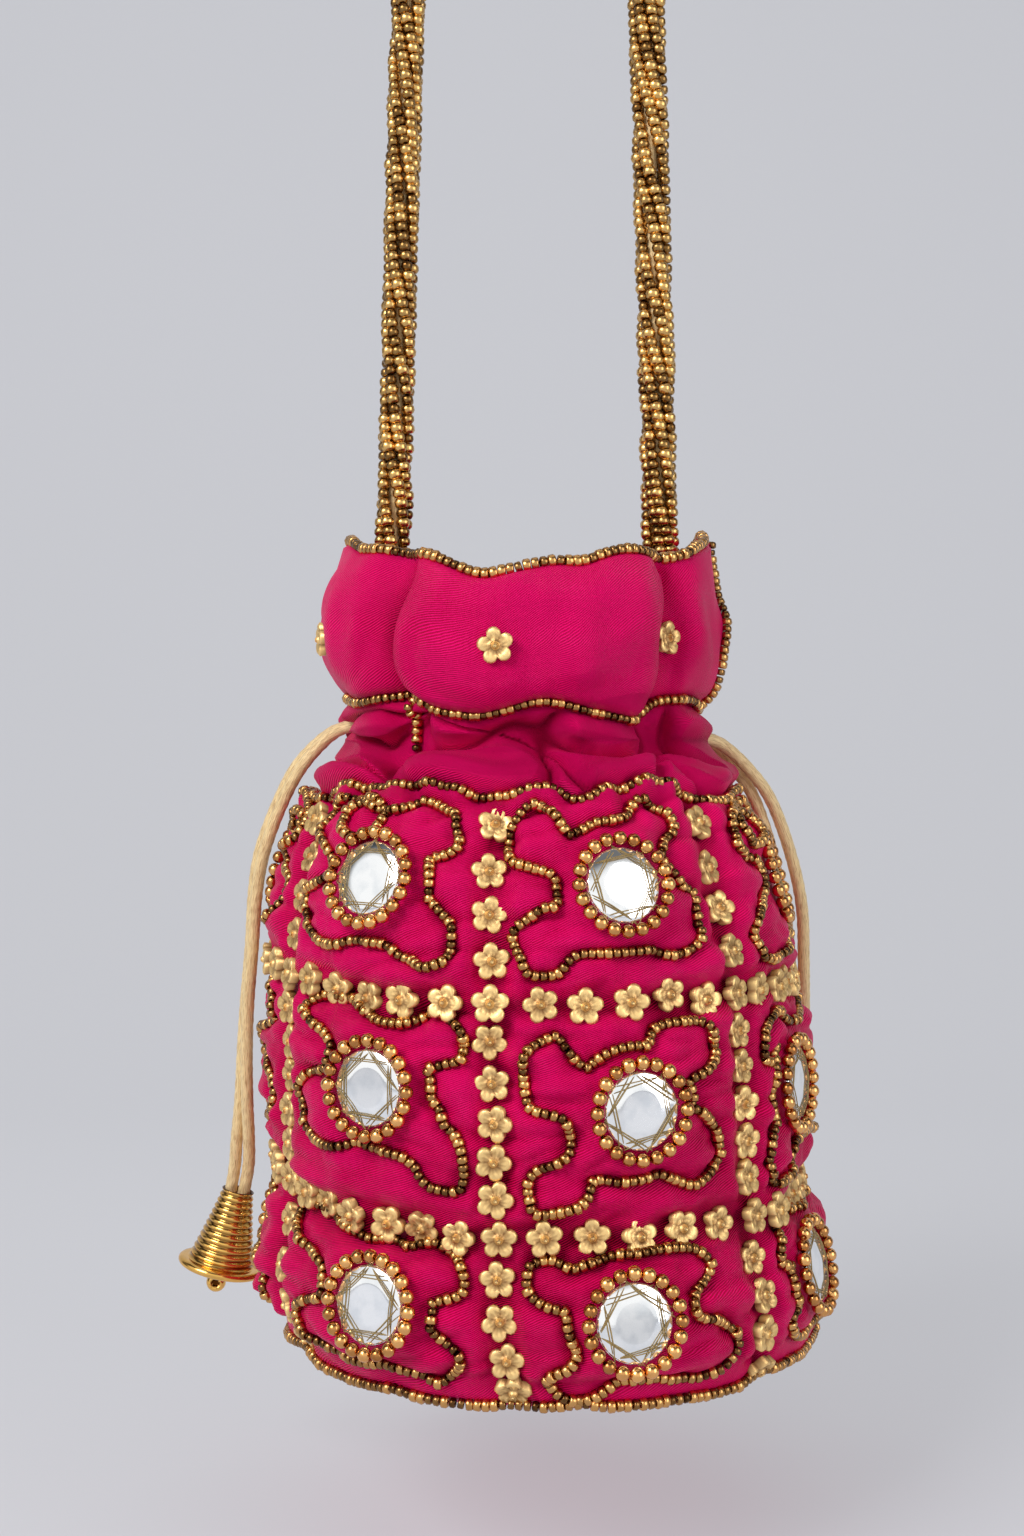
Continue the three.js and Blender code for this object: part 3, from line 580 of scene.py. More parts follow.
class GeometryTree(Graph):
    """A Geometry Nodes tree with named inputs."""

    def __init__(self, name: str, inputs: Sequence[tuple[str, str, Any]]) -> None:
        """Makes the tree.

        Args:
            name: Name of the tree.
            inputs: Name, socket type and first value of each input.
        """
        super().__init__(bpy.data.node_groups.new(name, "GeometryNodeTree"))
        interface = self.tree.interface
        interface.new_socket(name="Geometry", in_out="INPUT", socket_type="NodeSocketGeometry")
        interface.new_socket(name="Geometry", in_out="OUTPUT", socket_type="NodeSocketGeometry")
        for label, kind, value in inputs:
            socket = interface.new_socket(name=label, in_out="INPUT", socket_type=kind)
            if value is not None:
                socket.default_value = value
        self.source = self.tree.nodes.new("NodeGroupInput").outputs

    def finish(self, geometry: bpy.types.NodeSocket, realize: bool = True) -> None:
        """Ends the tree: plain geometry, shaded smooth, in the material of its input.

        Args:
            geometry: Socket of the geometry.
            realize: Whether it holds instances to make real.
        """
        if realize:
            geometry = self.add("GeometryNodeRealizeInstances", {0: geometry}).outputs[0]
        smooth = self.add("GeometryNodeSetShadeSmooth", {0: geometry})
        dressed = self.add(
            "GeometryNodeSetMaterial", {"Geometry": smooth.outputs[0], "Material": self.source["Material"]}
        )
        out = self.tree.nodes.new("NodeGroupOutput")
        self.tree.links.new(dressed.outputs[0], out.inputs[0])

    def apply(self, name: str, source: bpy.types.Mesh, values: Mapping[str, Any]) -> bpy.types.Object:
        """Runs the tree on a mesh.

        Args:
            name: Name of the new object.
            source: Mesh that the tree starts from.
            values: Values of the named inputs.

        Returns:
            A plain mesh object with no modifier.
        """
        carrier = new_object(name + "_source", source)
        modifier = carrier.modifiers.new("tree", "NODES")
        modifier.node_group = self.tree
        names = {
            item.name: item.identifier
            for item in self.tree.interface.items_tree
            if item.in_out == "INPUT"
        }
        for label, value in values.items():
            modifier[names[label]] = value
        bpy.context.view_layer.update()
        graph = bpy.context.evaluated_depsgraph_get()
        mesh = bpy.data.meshes.new_from_object(carrier.evaluated_get(graph), depsgraph=graph)
        mesh.name = name
        bpy.data.objects.remove(carrier)
        return new_object(name, mesh)


COMMON_INPUTS = (
    ("Size spread", "NodeSocketFloat", 0.06),
    ("Tilt", "NodeSocketFloat", 0.12),
    ("Seed", "NodeSocketInt", 1),
    ("Material", "NodeSocketMaterial", None),
)


def _instances(tree: GeometryTree, points: bpy.types.NodeSocket, rotation: bpy.types.NodeSocket) -> None:
    """Repeats the tree's shape on points, each a little different, and finishes the tree.

    Args:
        tree: The tree.
        points: Socket of the points.
        rotation: Socket of each point's rotation.
    """
    source = tree.source
    low = tree.maths("SUBTRACT", 1.0, source["Size spread"])
    high = tree.maths("ADD", 1.0, source["Size spread"])
    scale = tree.add("FunctionNodeRandomValue", {2: low, 3: high, "Seed": source["Seed"]}, data_type="FLOAT")
    limits = [
        tree.add("ShaderNodeCombineXYZ", {0: tilt, 1: tilt, 2: tilt}).outputs[0]
        for tilt in (tree.maths("MULTIPLY", source["Tilt"], -1.0), source["Tilt"])
    ]
    tilt = tree.add(
        "FunctionNodeRandomValue",
        {0: limits[0], 1: limits[1], "Seed": source["Seed"]},
        data_type="FLOAT_VECTOR",
    )
    turn = tree.add("FunctionNodeEulerToRotation", {0: tilt.outputs[0]})
    rotated = tree.add(
        "FunctionNodeRotateRotation", {0: rotation, 1: turn.outputs[0]}, rotation_space="LOCAL"
    )
    shape = tree.add("GeometryNodeObjectInfo", {"Object": source["Shape"]})
    placed = tree.add(
        "GeometryNodeInstanceOnPoints",
        {
            "Points": points,
            "Instance": shape.outputs["Geometry"],
            "Rotation": rotated.outputs[0],
            "Scale": scale.outputs[1],
        },
    )
    shade = tree.add("FunctionNodeRandomValue", {2: 0.0, 3: 1.0, "Seed": source["Seed"]}, data_type="FLOAT")
    tinted = tree.add(
        "GeometryNodeStoreNamedAttribute",
        {"Geometry": placed.outputs[0], "Name": "tint", "Value": shade.outputs[1]},
        data_type="FLOAT",
        domain="INSTANCE",
    )
    tree.finish(tinted.outputs[0])


def strung_tree() -> GeometryTree:
    """A tree that strings a shape along every line of a mesh, with its +Z along the line.

    Returns:
        The tree, with inputs Shape and Pitch and the common ones.
    """
    inputs = [("Shape", "NodeSocketObject", None), ("Pitch", "NodeSocketFloat", 0.002), *COMMON_INPUTS]
    tree = GeometryTree("strung_beads", inputs)
    curve = tree.add("GeometryNodeMeshToCurve", {0: tree.source["Geometry"]})
    stops = tree.add(
        "GeometryNodeResampleCurve",
        {"Curve": curve.outputs[0], "Length": tree.source["Pitch"]},
        mode="LENGTH",
    )
    tangent = tree.add("GeometryNodeInputTangent")
    facing = tree.add("FunctionNodeAlignRotationToVector", {"Vector": tangent.outputs[0]}, axis="Z")
    _instances(tree, stops.outputs[0], facing.outputs[0])
    return tree


def studded_tree() -> GeometryTree:
    """A tree that sets a shape on every point of a mesh, facing along the point's stored directions.

    Returns:
        The tree, with the input Shape and the common ones.
    """
    tree = GeometryTree("studded_shapes", [("Shape", "NodeSocketObject", None), *COMMON_INPUTS])
    out = tree.add("GeometryNodeInputNamedAttribute", {"Name": "facing"}, data_type="FLOAT_VECTOR")
    up = tree.add("GeometryNodeInputNamedAttribute", {"Name": "up"}, data_type="FLOAT_VECTOR")
    facing = tree.add("FunctionNodeAlignRotationToVector", {"Vector": out.outputs[0]}, axis="Z")
    turned_up = tree.add(
        "FunctionNodeAlignRotationToVector",
        {"Rotation": facing.outputs[0], "Vector": up.outputs[0]},
        axis="Y",
        pivot_axis="Z",
    )
    points = tree.add("GeometryNodeMeshToPoints", {0: tree.source["Geometry"]})
    _instances(tree, points.outputs[0], turned_up.outputs[0])
    return tree


def thread_tree() -> GeometryTree:
    """A tree that gives every line of a mesh a round section.

    Returns:
        The tree, with inputs Diameter and Material.
    """
    inputs = [("Diameter", "NodeSocketFloat", 0.0003), ("Material", "NodeSocketMaterial", None)]
    tree = GeometryTree("round_threads", inputs)
    curve = tree.add("GeometryNodeMeshToCurve", {0: tree.source["Geometry"]})
    radius = tree.maths("MULTIPLY", tree.source["Diameter"], 0.5)
    section = tree.add("GeometryNodeCurvePrimitiveCircle", {"Resolution": 5, "Radius": radius})
    tube = tree.add(
        "GeometryNodeCurveToMesh",
        {0: curve.outputs[0], "Profile Curve": section.outputs[0], "Fill Caps": True},
    )
    tree.finish(tube.outputs[0], realize=False)
    return tree


def line_mesh(name: str, lines: Sequence[Array], closed: bool = False) -> bpy.types.Mesh:
    """A mesh of loose lines.

    Args:
        name: Name of the mesh.
        lines: Points in millimetres along each line.
        closed: Whether each line returns to its start.

    Returns:
        The mesh.
    """
    edges, start = [], 0
    for line in lines:
        count = len(line)
        edges += [(start + i, start + i + 1) for i in range(count - 1)]
        if closed:
            edges.append((start + count - 1, start))
        start += count
    mesh = bpy.data.meshes.new(name)
    mesh.from_pydata(to_frame(np.vstack(lines)).tolist(), edges, [])
    return mesh


def point_mesh(name: str, points: Array, facing: Array, up: Array) -> bpy.types.Mesh:
    """A mesh of loose points, each with the directions that its shape faces.

    Args:
        name: Name of the mesh.
        points: Points in millimetres.
        facing: Way of the shape's +Z at each point.
        up: Way of the shape's +Y at each point.

    Returns:
        The mesh.
    """
    mesh = bpy.data.meshes.new(name)
    mesh.from_pydata(to_frame(points).tolist(), [], [])
    for key, value in (("facing", facing), ("up", up)):
        ways = mesh.attributes.new(key, "FLOAT_VECTOR", "POINT")
        ways.data.foreach_set("vector", value.astype(np.float32).ravel())
    return mesh


# Finishes


def linear(red: int, green: int, blue: int) -> Colour:
    """Linear colour of an eight-bit one.

    Args:
        red: Red from 0 to 255.
        green: Green from 0 to 255.
        blue: Blue from 0 to 255.

    Returns:
        The colour, each part from 0 to 1.
    """
    return tuple(
        ((c / 255 + 0.055) / 1.055) ** 2.4 if c > 10 else c / 255 / 12.92
        for c in (red, green, blue)
    )


class Surface(Graph):
    """A material: its node tree and its surface shader."""

    def __init__(self, name: str, values: Mapping[str, Any]) -> None:
        """Makes the material.

        Args:
            name: Name of the material.
            values: Numbers and colours of the shader, by the name of the input.
        """
        self.material = bpy.data.materials.new(name)
        self.material.use_nodes = True
        super().__init__(self.material.node_tree)
        self.shader = self.tree.nodes["Principled BSDF"]
        for label, value in values.items():
            self.feed(label, value)

    def feed(self, label: str, value: Any) -> None:
        """Sets an input of the shader.

        Args:
            label: Name of the input.
            value: A plain value, or a socket to link.
        """
        if isinstance(value, bpy.types.NodeSocket):
            self.tree.links.new(value, self.shader.inputs[label])
        else:
            self.shader.inputs[label].default_value = value

    def place(self) -> bpy.types.NodeSocket:
        """Each point's place on its own piece, in metres."""
        return self.add("ShaderNodeTexCoord").outputs["Object"]

    def sewn_map(self) -> bpy.types.NodeSocket:
        """Each point's place on the cloth's own UV map, in millimetres."""
        return self.add("ShaderNodeUVMap", uv_map="cloth").outputs[0]

    def attribute(self, name: str) -> bpy.types.NodeSocket:
        """A value kept on the mesh."""
        return self.add("ShaderNodeAttribute", attribute_name=name).outputs["Fac"]

    def noise(
        self,
        vector: bpy.types.NodeSocket,
        scale: float,
        detail: float,
        **more: float,
    ) -> bpy.types.NodeSocket:
        """Noise from 0 to 1.

        Args:
            vector: Places that it is read at.
            scale: Bumps for each unit of place.
            detail: Number of finer layers.
            **more: Other inputs of the noise, by name.

        Returns:
            The noise's socket.
        """
        inputs = {"Vector": vector, "Scale": scale, "Detail": detail, **more}
        return self.add("ShaderNodeTexNoise", inputs).outputs["Fac"]

    def mix(self, *parts: tuple[bpy.types.NodeSocket, float]) -> bpy.types.NodeSocket:
        """The sum of sockets, each times its share.

        Args:
            *parts: Sockets with their shares.

        Returns:
            The sum's socket.
        """
        shares = [self.maths("MULTIPLY", socket, share) for socket, share in parts]
        total = shares[0]
        for share in shares[1:]:
            total = self.maths("ADD", total, share)
        return total

    def emboss(self, height: bpy.types.NodeSocket, strength: float, depth: float) -> None:
        """Gives the surface a fine relief.

        Args:
            height: Socket of the relief's height.
            strength: Strength of the relief, from 0 to 1.
            depth: Its depth in metres.
        """
        bump = self.add("ShaderNodeBump", {"Height": height, "Strength": strength, "Distance": depth})
        self.feed("Normal", bump.outputs[0])


@dataclass(frozen=True)
class Satin:
    """Plump satin with a fine diagonal weave, with painted shade in its folds."""

    name: str = "pink_satin"
    light: Colour = linear(246, 13, 114)
    deep: Colour = linear(182, 0, 52)
    # Painted shade: the colour drawn where the depth values mark the deepest folds and sewn lines.
    crease: Colour = linear(84, 0, 20)
    sheen: Colour = linear(255, 60, 130)
    shine: Colour = linear(255, 90, 160)
    roughness: float = 0.45
    twill_pitch: float = 0.72
    twill_angle: float = 62.0
    weave_depth: float = 0.00026
    cloud_scale: float = 38.0

    def material(self) -> bpy.types.Material:
        """Weaves the satin on the cloth's own UV map and paints shade into it from the cloth's depth values.

        Returns:
            The finish's material.
        """
        values = {
            "Roughness": self.roughness,
            "Sheen Weight": 0.05,
            "Sheen Roughness": 0.4,
            "Sheen Tint": (*self.sheen, 1),
            "Specular IOR Level": 0.32,
            "Specular Tint": (*self.shine, 1),
        }
        surface = Surface(self.name, values)
        turn = (0, 0, math.radians(self.twill_angle))
        slant = surface.add("ShaderNodeMapping", {"Vector": surface.sewn_map(), "Rotation": turn}).outputs[0]
        twill = surface.add(
            "ShaderNodeTexWave",
            {
                "Vector": slant,
                "Scale": 0.314 / self.twill_pitch,
                "Distortion": 1.2,
                "Detail": 1.0,
                "Detail Scale": 0.6,
            },
            wave_type="BANDS",
            bands_direction="X",
        ).outputs["Fac"]
        slub = surface.noise(slant, 0.9, 3.0)
        cloud = surface.noise(surface.place(), self.cloud_scale, 4.0, Roughness=0.6)
        # The depth values are painted shade: they pull the colour towards the deep and crease colours.
        depth = surface.attribute("depth")
        mixed = surface.mix((twill, 0.5), (cloud, 0.42), (slub, 0.25), (depth, -0.9))
        colour = surface.ramp(mixed, ((0.0, self.crease), (0.25, self.deep), (0.75, self.light)))
        surface.feed("Base Color", colour)
        surface.emboss(surface.mix((twill, 0.8), (slub, 0.5)), 0.8, self.weave_depth)
        return surface.material


@dataclass(frozen=True)
class Metal:
    """Cast or plated metal, each bead a little different, with painted shade where it is sheltered."""

    name: str
    light: Colour
    dark: Colour
    roughness: float
    metallic: float = 1.0
    grain: float = 900.0
    grain_depth: float = 0.00004
    spread: float = 0.5
    # Whether the relief values paint shade into the hollows and highlights onto the ridges.
    painted_cavity_shade: bool = False

    def material(self) -> bpy.types.Material:
        """Colours the metal by each bead's tint and, where it has painted cavity shade, by its relief values,
        which paint shade into hollows and highlights onto ridges.

        Returns:
            The finish's material.
        """
        surface = Surface(self.name, {"Metallic": self.metallic})
        grain = surface.noise(surface.place(), self.grain, 3.0)
        mixed = surface.mix((surface.attribute("tint"), self.spread), (grain, 1 - self.spread))
        # Painted shade and highlight: the relief values darken hollows and lighten ridges.
        if self.painted_cavity_shade:
            shown = surface.maths("MULTIPLY_ADD", mixed, 0.5, 0.46)
            mixed = surface.maths("MULTIPLY", shown, surface.attribute("relief"))
        surface.feed("Base Color", surface.ramp(mixed, ((0.05, self.dark), (0.75, self.light))))
        surface.feed("Roughness", surface.maths("MULTIPLY_ADD", grain, 0.25, self.roughness - 0.1))
        surface.emboss(grain, 0.5, self.grain_depth)
        return surface.material


@dataclass(frozen=True)
class MirrorGlass:
    """Silvered glass with faint smears and a painted glow: it gives off a little light of itself, though it
    is no lamp.
    """

    name: str = "silvered_glass"
    clear: Colour = (0.97, 0.98, 0.98)
    smeared: Colour = (0.82, 0.85, 0.87)
    # Painted glow: the colour and strength of the light the glass gives off.
    light: Colour = (0.94, 0.96, 1.0)
    glow: float = 0.05

    def material(self) -> bpy.types.Material:
        """Smears the glass and gives it its painted glow.

        Returns:
            The finish's material.
        """
        values = {"Metallic": 1.0, "Emission Color": (*self.light, 1), "Emission Strength": self.glow}
        surface = Surface(self.name, values)
        smear = surface.noise(surface.place(), 260.0, 4.0)
        surface.feed("Roughness", surface.maths("MULTIPLY_ADD", smear, 0.1, 0.02))
        surface.feed("Base Color", surface.ramp(smear, ((0.3, self.smeared), (0.55, self.clear))))
        return surface.material


@dataclass(frozen=True)
class Cordage:
    """Twisted cord of shiny fibres that run along it."""

    name: str
    light: Colour
    dark: Colour
    roughness: float = 0.42
    metallic: float = 0.12
    fibre: float = 6.0
    fibre_slant: float = 0.35
    fibre_depth: float = 0.00025

    def material(self) -> bpy.types.Material:
        """Draws the fibres along the cord's own UV map.

        Returns:
            The finish's material.
        """
        values = {"Metallic": self.metallic, "Roughness": self.roughness, "Sheen Weight": 0.2}
        surface = Surface(self.name, values)
        drawn = surface.add(
            "ShaderNodeMapping",
            {
                "Vector": surface.sewn_map(),
                "Rotation": (0, 0, self.fibre_slant),
                "Scale": (self.fibre, 0.35, 1),
            },
        ).outputs[0]
        fibres = surface.noise(drawn, 1.0, 4.0, Distortion=0.5)
        surface.feed("Base Color", surface.ramp(fibres, ((0.26, self.dark), (0.54, self.light))))
        surface.emboss(fibres, 0.8, self.fibre_depth)
        return surface.material


@dataclass(frozen=True)
class PlainCloth:
    """Thin lining cloth or stiff board, with a square weave."""

    name: str
    light: Colour
    dark: Colour
    thread: float = 900.0
    weave_depth: float = 0.0001

    def material(self) -> bpy.types.Material:
        """Weaves the cloth.

        Returns:
            The finish's material.
        """
        surface = Surface(self.name, {"Roughness": 0.8})
        place = surface.place()
        threads = surface.add(
            "ShaderNodeTexVoronoi", {"Vector": place, "Scale": self.thread}, distance="CHEBYCHEV"
        )
        weave = threads.outputs["Distance"]
        mixed = surface.mix((weave, 0.4), (surface.noise(place, 40.0, 4.0), 0.6))
        surface.feed("Base Color", surface.ramp(mixed, ((0.2, self.dark), (0.7, self.light))))
        surface.emboss(weave, 0.4, self.weave_depth)
        return surface.material


class Finish(Enum):
    """The finishes of the bag, each with the record's material slot."""

    SATIN = ("satin", Satin())
    LINING = ("lining", PlainCloth("lining_weave", linear(178, 22, 84), linear(120, 6, 50)))
    BOARD = ("base_board", PlainCloth("board_card", linear(164, 146, 118), linear(120, 102, 78), 300.0))
    FLOWER = (
        "flower_gold",
        Metal(
            "flower_bead_gold",
            linear(255, 216, 146),
            linear(124, 66, 26),
            0.42,
            metallic=0.75,
            painted_cavity_shade=True,
            grain_depth=0.00012,
        ),
    )
    SEED = ("seed_beads", Metal("seed_bronze", linear(216, 164, 100), linear(54, 27, 11), 0.23, spread=0.75))
    HANDLE_SEED = (
        "seed_beads", Metal("handle_bronze", linear(226, 182, 112), linear(92, 58, 24), 0.25, spread=0.72)
    )
    RING = ("seed_beads", Metal("ring_gold", linear(246, 186, 116), linear(150, 86, 36), 0.2, spread=0.6))
    BELL = (
        "bell_gold",
        Metal(
            "bell_brass",
            linear(250, 196, 106),
            linear(84, 44, 12),
            0.17,
            spread=0.0,
            grain=240.0,
            painted_cavity_shade=True,
        ),
    )
    MIRROR = ("mirror", MirrorGlass())
    THREAD = (
        "mirror", Metal("setting_thread", linear(206, 182, 122), linear(132, 104, 56), 0.45, metallic=0.2)
    )
    CORD = ("cord", Cordage("champagne_cord", linear(255, 226, 168), linear(170, 118, 60)))

    def __init__(self, slot: str, look: Satin | Metal | MirrorGlass | Cordage | PlainCloth) -> None:
        """Keeps a finish's values.

        Args:
            slot: The record's material slot, which is kept but not used.
            look: What makes its material.
        """
        self.slot = slot
        self.look = look

    def material(self) -> bpy.types.Material:
        """The finish's material, made once."""
        return bpy.data.materials.get(self.look.name) or self.look.material()


def dress(piece: bpy.types.Object, finish: Finish, *nodes: str) -> bpy.types.Object:
    """Gives a piece its finish and its place in the frame.

    Args:
        piece: The finished mesh.
        finish: Its finish.
        *nodes: The nodes of the frame that it stands for.

    Returns:
        The same piece.
    """
    piece.data.materials.clear()
    piece.data.materials.append(finish.material())
    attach(piece, BODY)
    if nodes:
        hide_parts(*nodes)
    LOG.info("%s: %d faces", piece.name, len(piece.data.polygons))
    return piece


# Beadwork


@dataclass(frozen=True)
class ClothEdges:
    """The waving lines along which the cloth is sewn and beaded."""

    seam_rise: float = 1.6
    top_drop: float = 1.6
    rim_inset: float = 1.3
    rim_lift: float = 1.7
    seam_ripple: Waves = ((0.9, 3, 0.7), (0.7, 7, 0.2))
    top_ripple: Waves = ((0.9, 5, 0.0), (0.6, 11, 0.0))
    rim_ripple: Waves = ((0.5, 5, 0.5), (0.35, 13, 0.0))
    seam_wave: Pairs = (
        (-110, 0.0), (-75, 1.9), (-36, 2.5), (-29, -0.5), (-14, -1.9), (3, -0.2), (18, -3.0), (35, -3.8),
        (41, -2.5), (47, 1.3), (80, 1.0), (110, 0.0),
    )
    top_wave: Pairs = (
        (-60, 0.0), (-45, 2.0), (-32, 2.7), (-19, 2.4), (0, 1.2), (8, 0.4), (12.7, -3.4), (17, 0.6),
        (30, 2.5), (44, 1.0), (60, 0.0),
    )
    rim_wave: Pairs = (
        (-110, 0.0), (-75, -2.0), (-58, -2.8), (-43, -1.9), (-31, 0.0), (-18, -3.6), (-12.5, -4.4),
        (-6, -2.8), (6, -2.1), (15, -2.4), (21.5, -0.3), (28, 0.2), (36, -0.9), (48, -2.5), (57, -3.0),
        (75, -2.0), (110, 0.0),
    )

    def wave(self, stops: Pairs, angle: Array) -> Array:
        """A wave through heights given at angles, softened at its corners.

        Args:
            stops: Angles with their heights.
            angle: Angles in degrees.

        Returns:
            One height for each angle.
        """
        at, rise = np.array(stops).T
        front = turn_between(0.0, np.asarray(angle, float))
        return sum(np.interp(front + step, at, rise) for step in (-3.0, -1.5, 0.0, 1.5, 3.0)) / 5

    def ripple(self, waves: Waves, angle: Array) -> Array:
        """A ripple round the bag.

        Args:
            waves: Height, number and phase of each wave.
            angle: Angles in degrees.

        Returns:
            One height for each angle.
        """
        turn = np.radians(angle)
        return sum(height * np.sin(count * turn + phase) for height, count, phase in waves)

    def seam_line(self, angle: Array) -> Array:
        """Height of the bead line under the collar.

        Args:
            angle: Angles in degrees.

        Returns:
            One height for each angle.
        """
        level = FORM.seam_height + self.seam_rise
        return level + self.ripple(self.seam_ripple, angle) + self.wave(self.seam_wave, angle)

    def top_line(self, angle: Array) -> Array:
        """Height of the bead line round the top of the pouch.

        Args:
            angle: Angles in degrees.

        Returns:
            One height for each angle.
        """
        level = FORM.pouch_height - self.top_drop
        return level + self.ripple(self.top_ripple, angle) + self.wave(self.top_wave, angle)

    def rim_height(self, angle: Array) -> Array:
        """Height of the collar's rim.

        Args:
            angle: Angles in degrees.

        Returns:
            One height for each angle.
        """
        return FORM.rim(angle) + self.ripple(self.rim_ripple, angle) + self.wave(self.rim_wave, angle)

    def rim_points(self, angle: Array) -> Array:
        """Middle of the bead line on the rim."""
        height = self.rim_height(angle)
        return FORM.place(angle, FORM.skin(angle, height) - self.rim_inset, height + self.rim_lift)


CLOTH_EDGES = ClothEdges()


@dataclass(frozen=True)
class Drape:
    """The finished cloth, which beads are laid on."""

    surfaces: tuple[BVHTree, ...]
    reach: float = 14.0

    def settle(self, angle: Array, height: Array, lift: float) -> Array:
        """Points on the cloth as it lies.

        Args:
            angle: Angles in degrees.
            height: Heights above the base.
            lift: Distance off the cloth.

        Returns:
            Points in millimetres, at most a reach away from the bare form.
        """
        bare, normal = FORM.on_skin(angle, height, 0.0), FORM.normal(angle, height)
        found = []
        for point, way in zip(bare, normal):
            start = Vector(to_frame(point + way * self.reach))
            hits = [
                surface.ray_cast(start, Vector(-way), 2 * self.reach * MM)[3]
                for surface in self.surfaces
            ]
            near = min((hit for hit in hits if hit is not None), default=self.reach * MM)
            found.append(point + way * (self.reach - near / MM + lift))
        return np.array(found)


class Row(Enum):
    """The tiers of cells, with their names and the heights of their mirrors and of their middles."""

    LOW = ("low", 20.2, 18.6)
    MIDDLE = ("middle", 62.4, 60.7)
    HIGH = ("high", 107.8, 106.5)

    def __init__(self, label: str, mirror_height: float, middle: float) -> None:
        """Keeps a tier's values.

        Args:
            label: Its name in the frame's nodes.
            mirror_height: Usual height of its mirrors.
            middle: Height of its cells' middles.
        """
        self.label = label
        self.mirror_height = mirror_height
        self.middle = middle


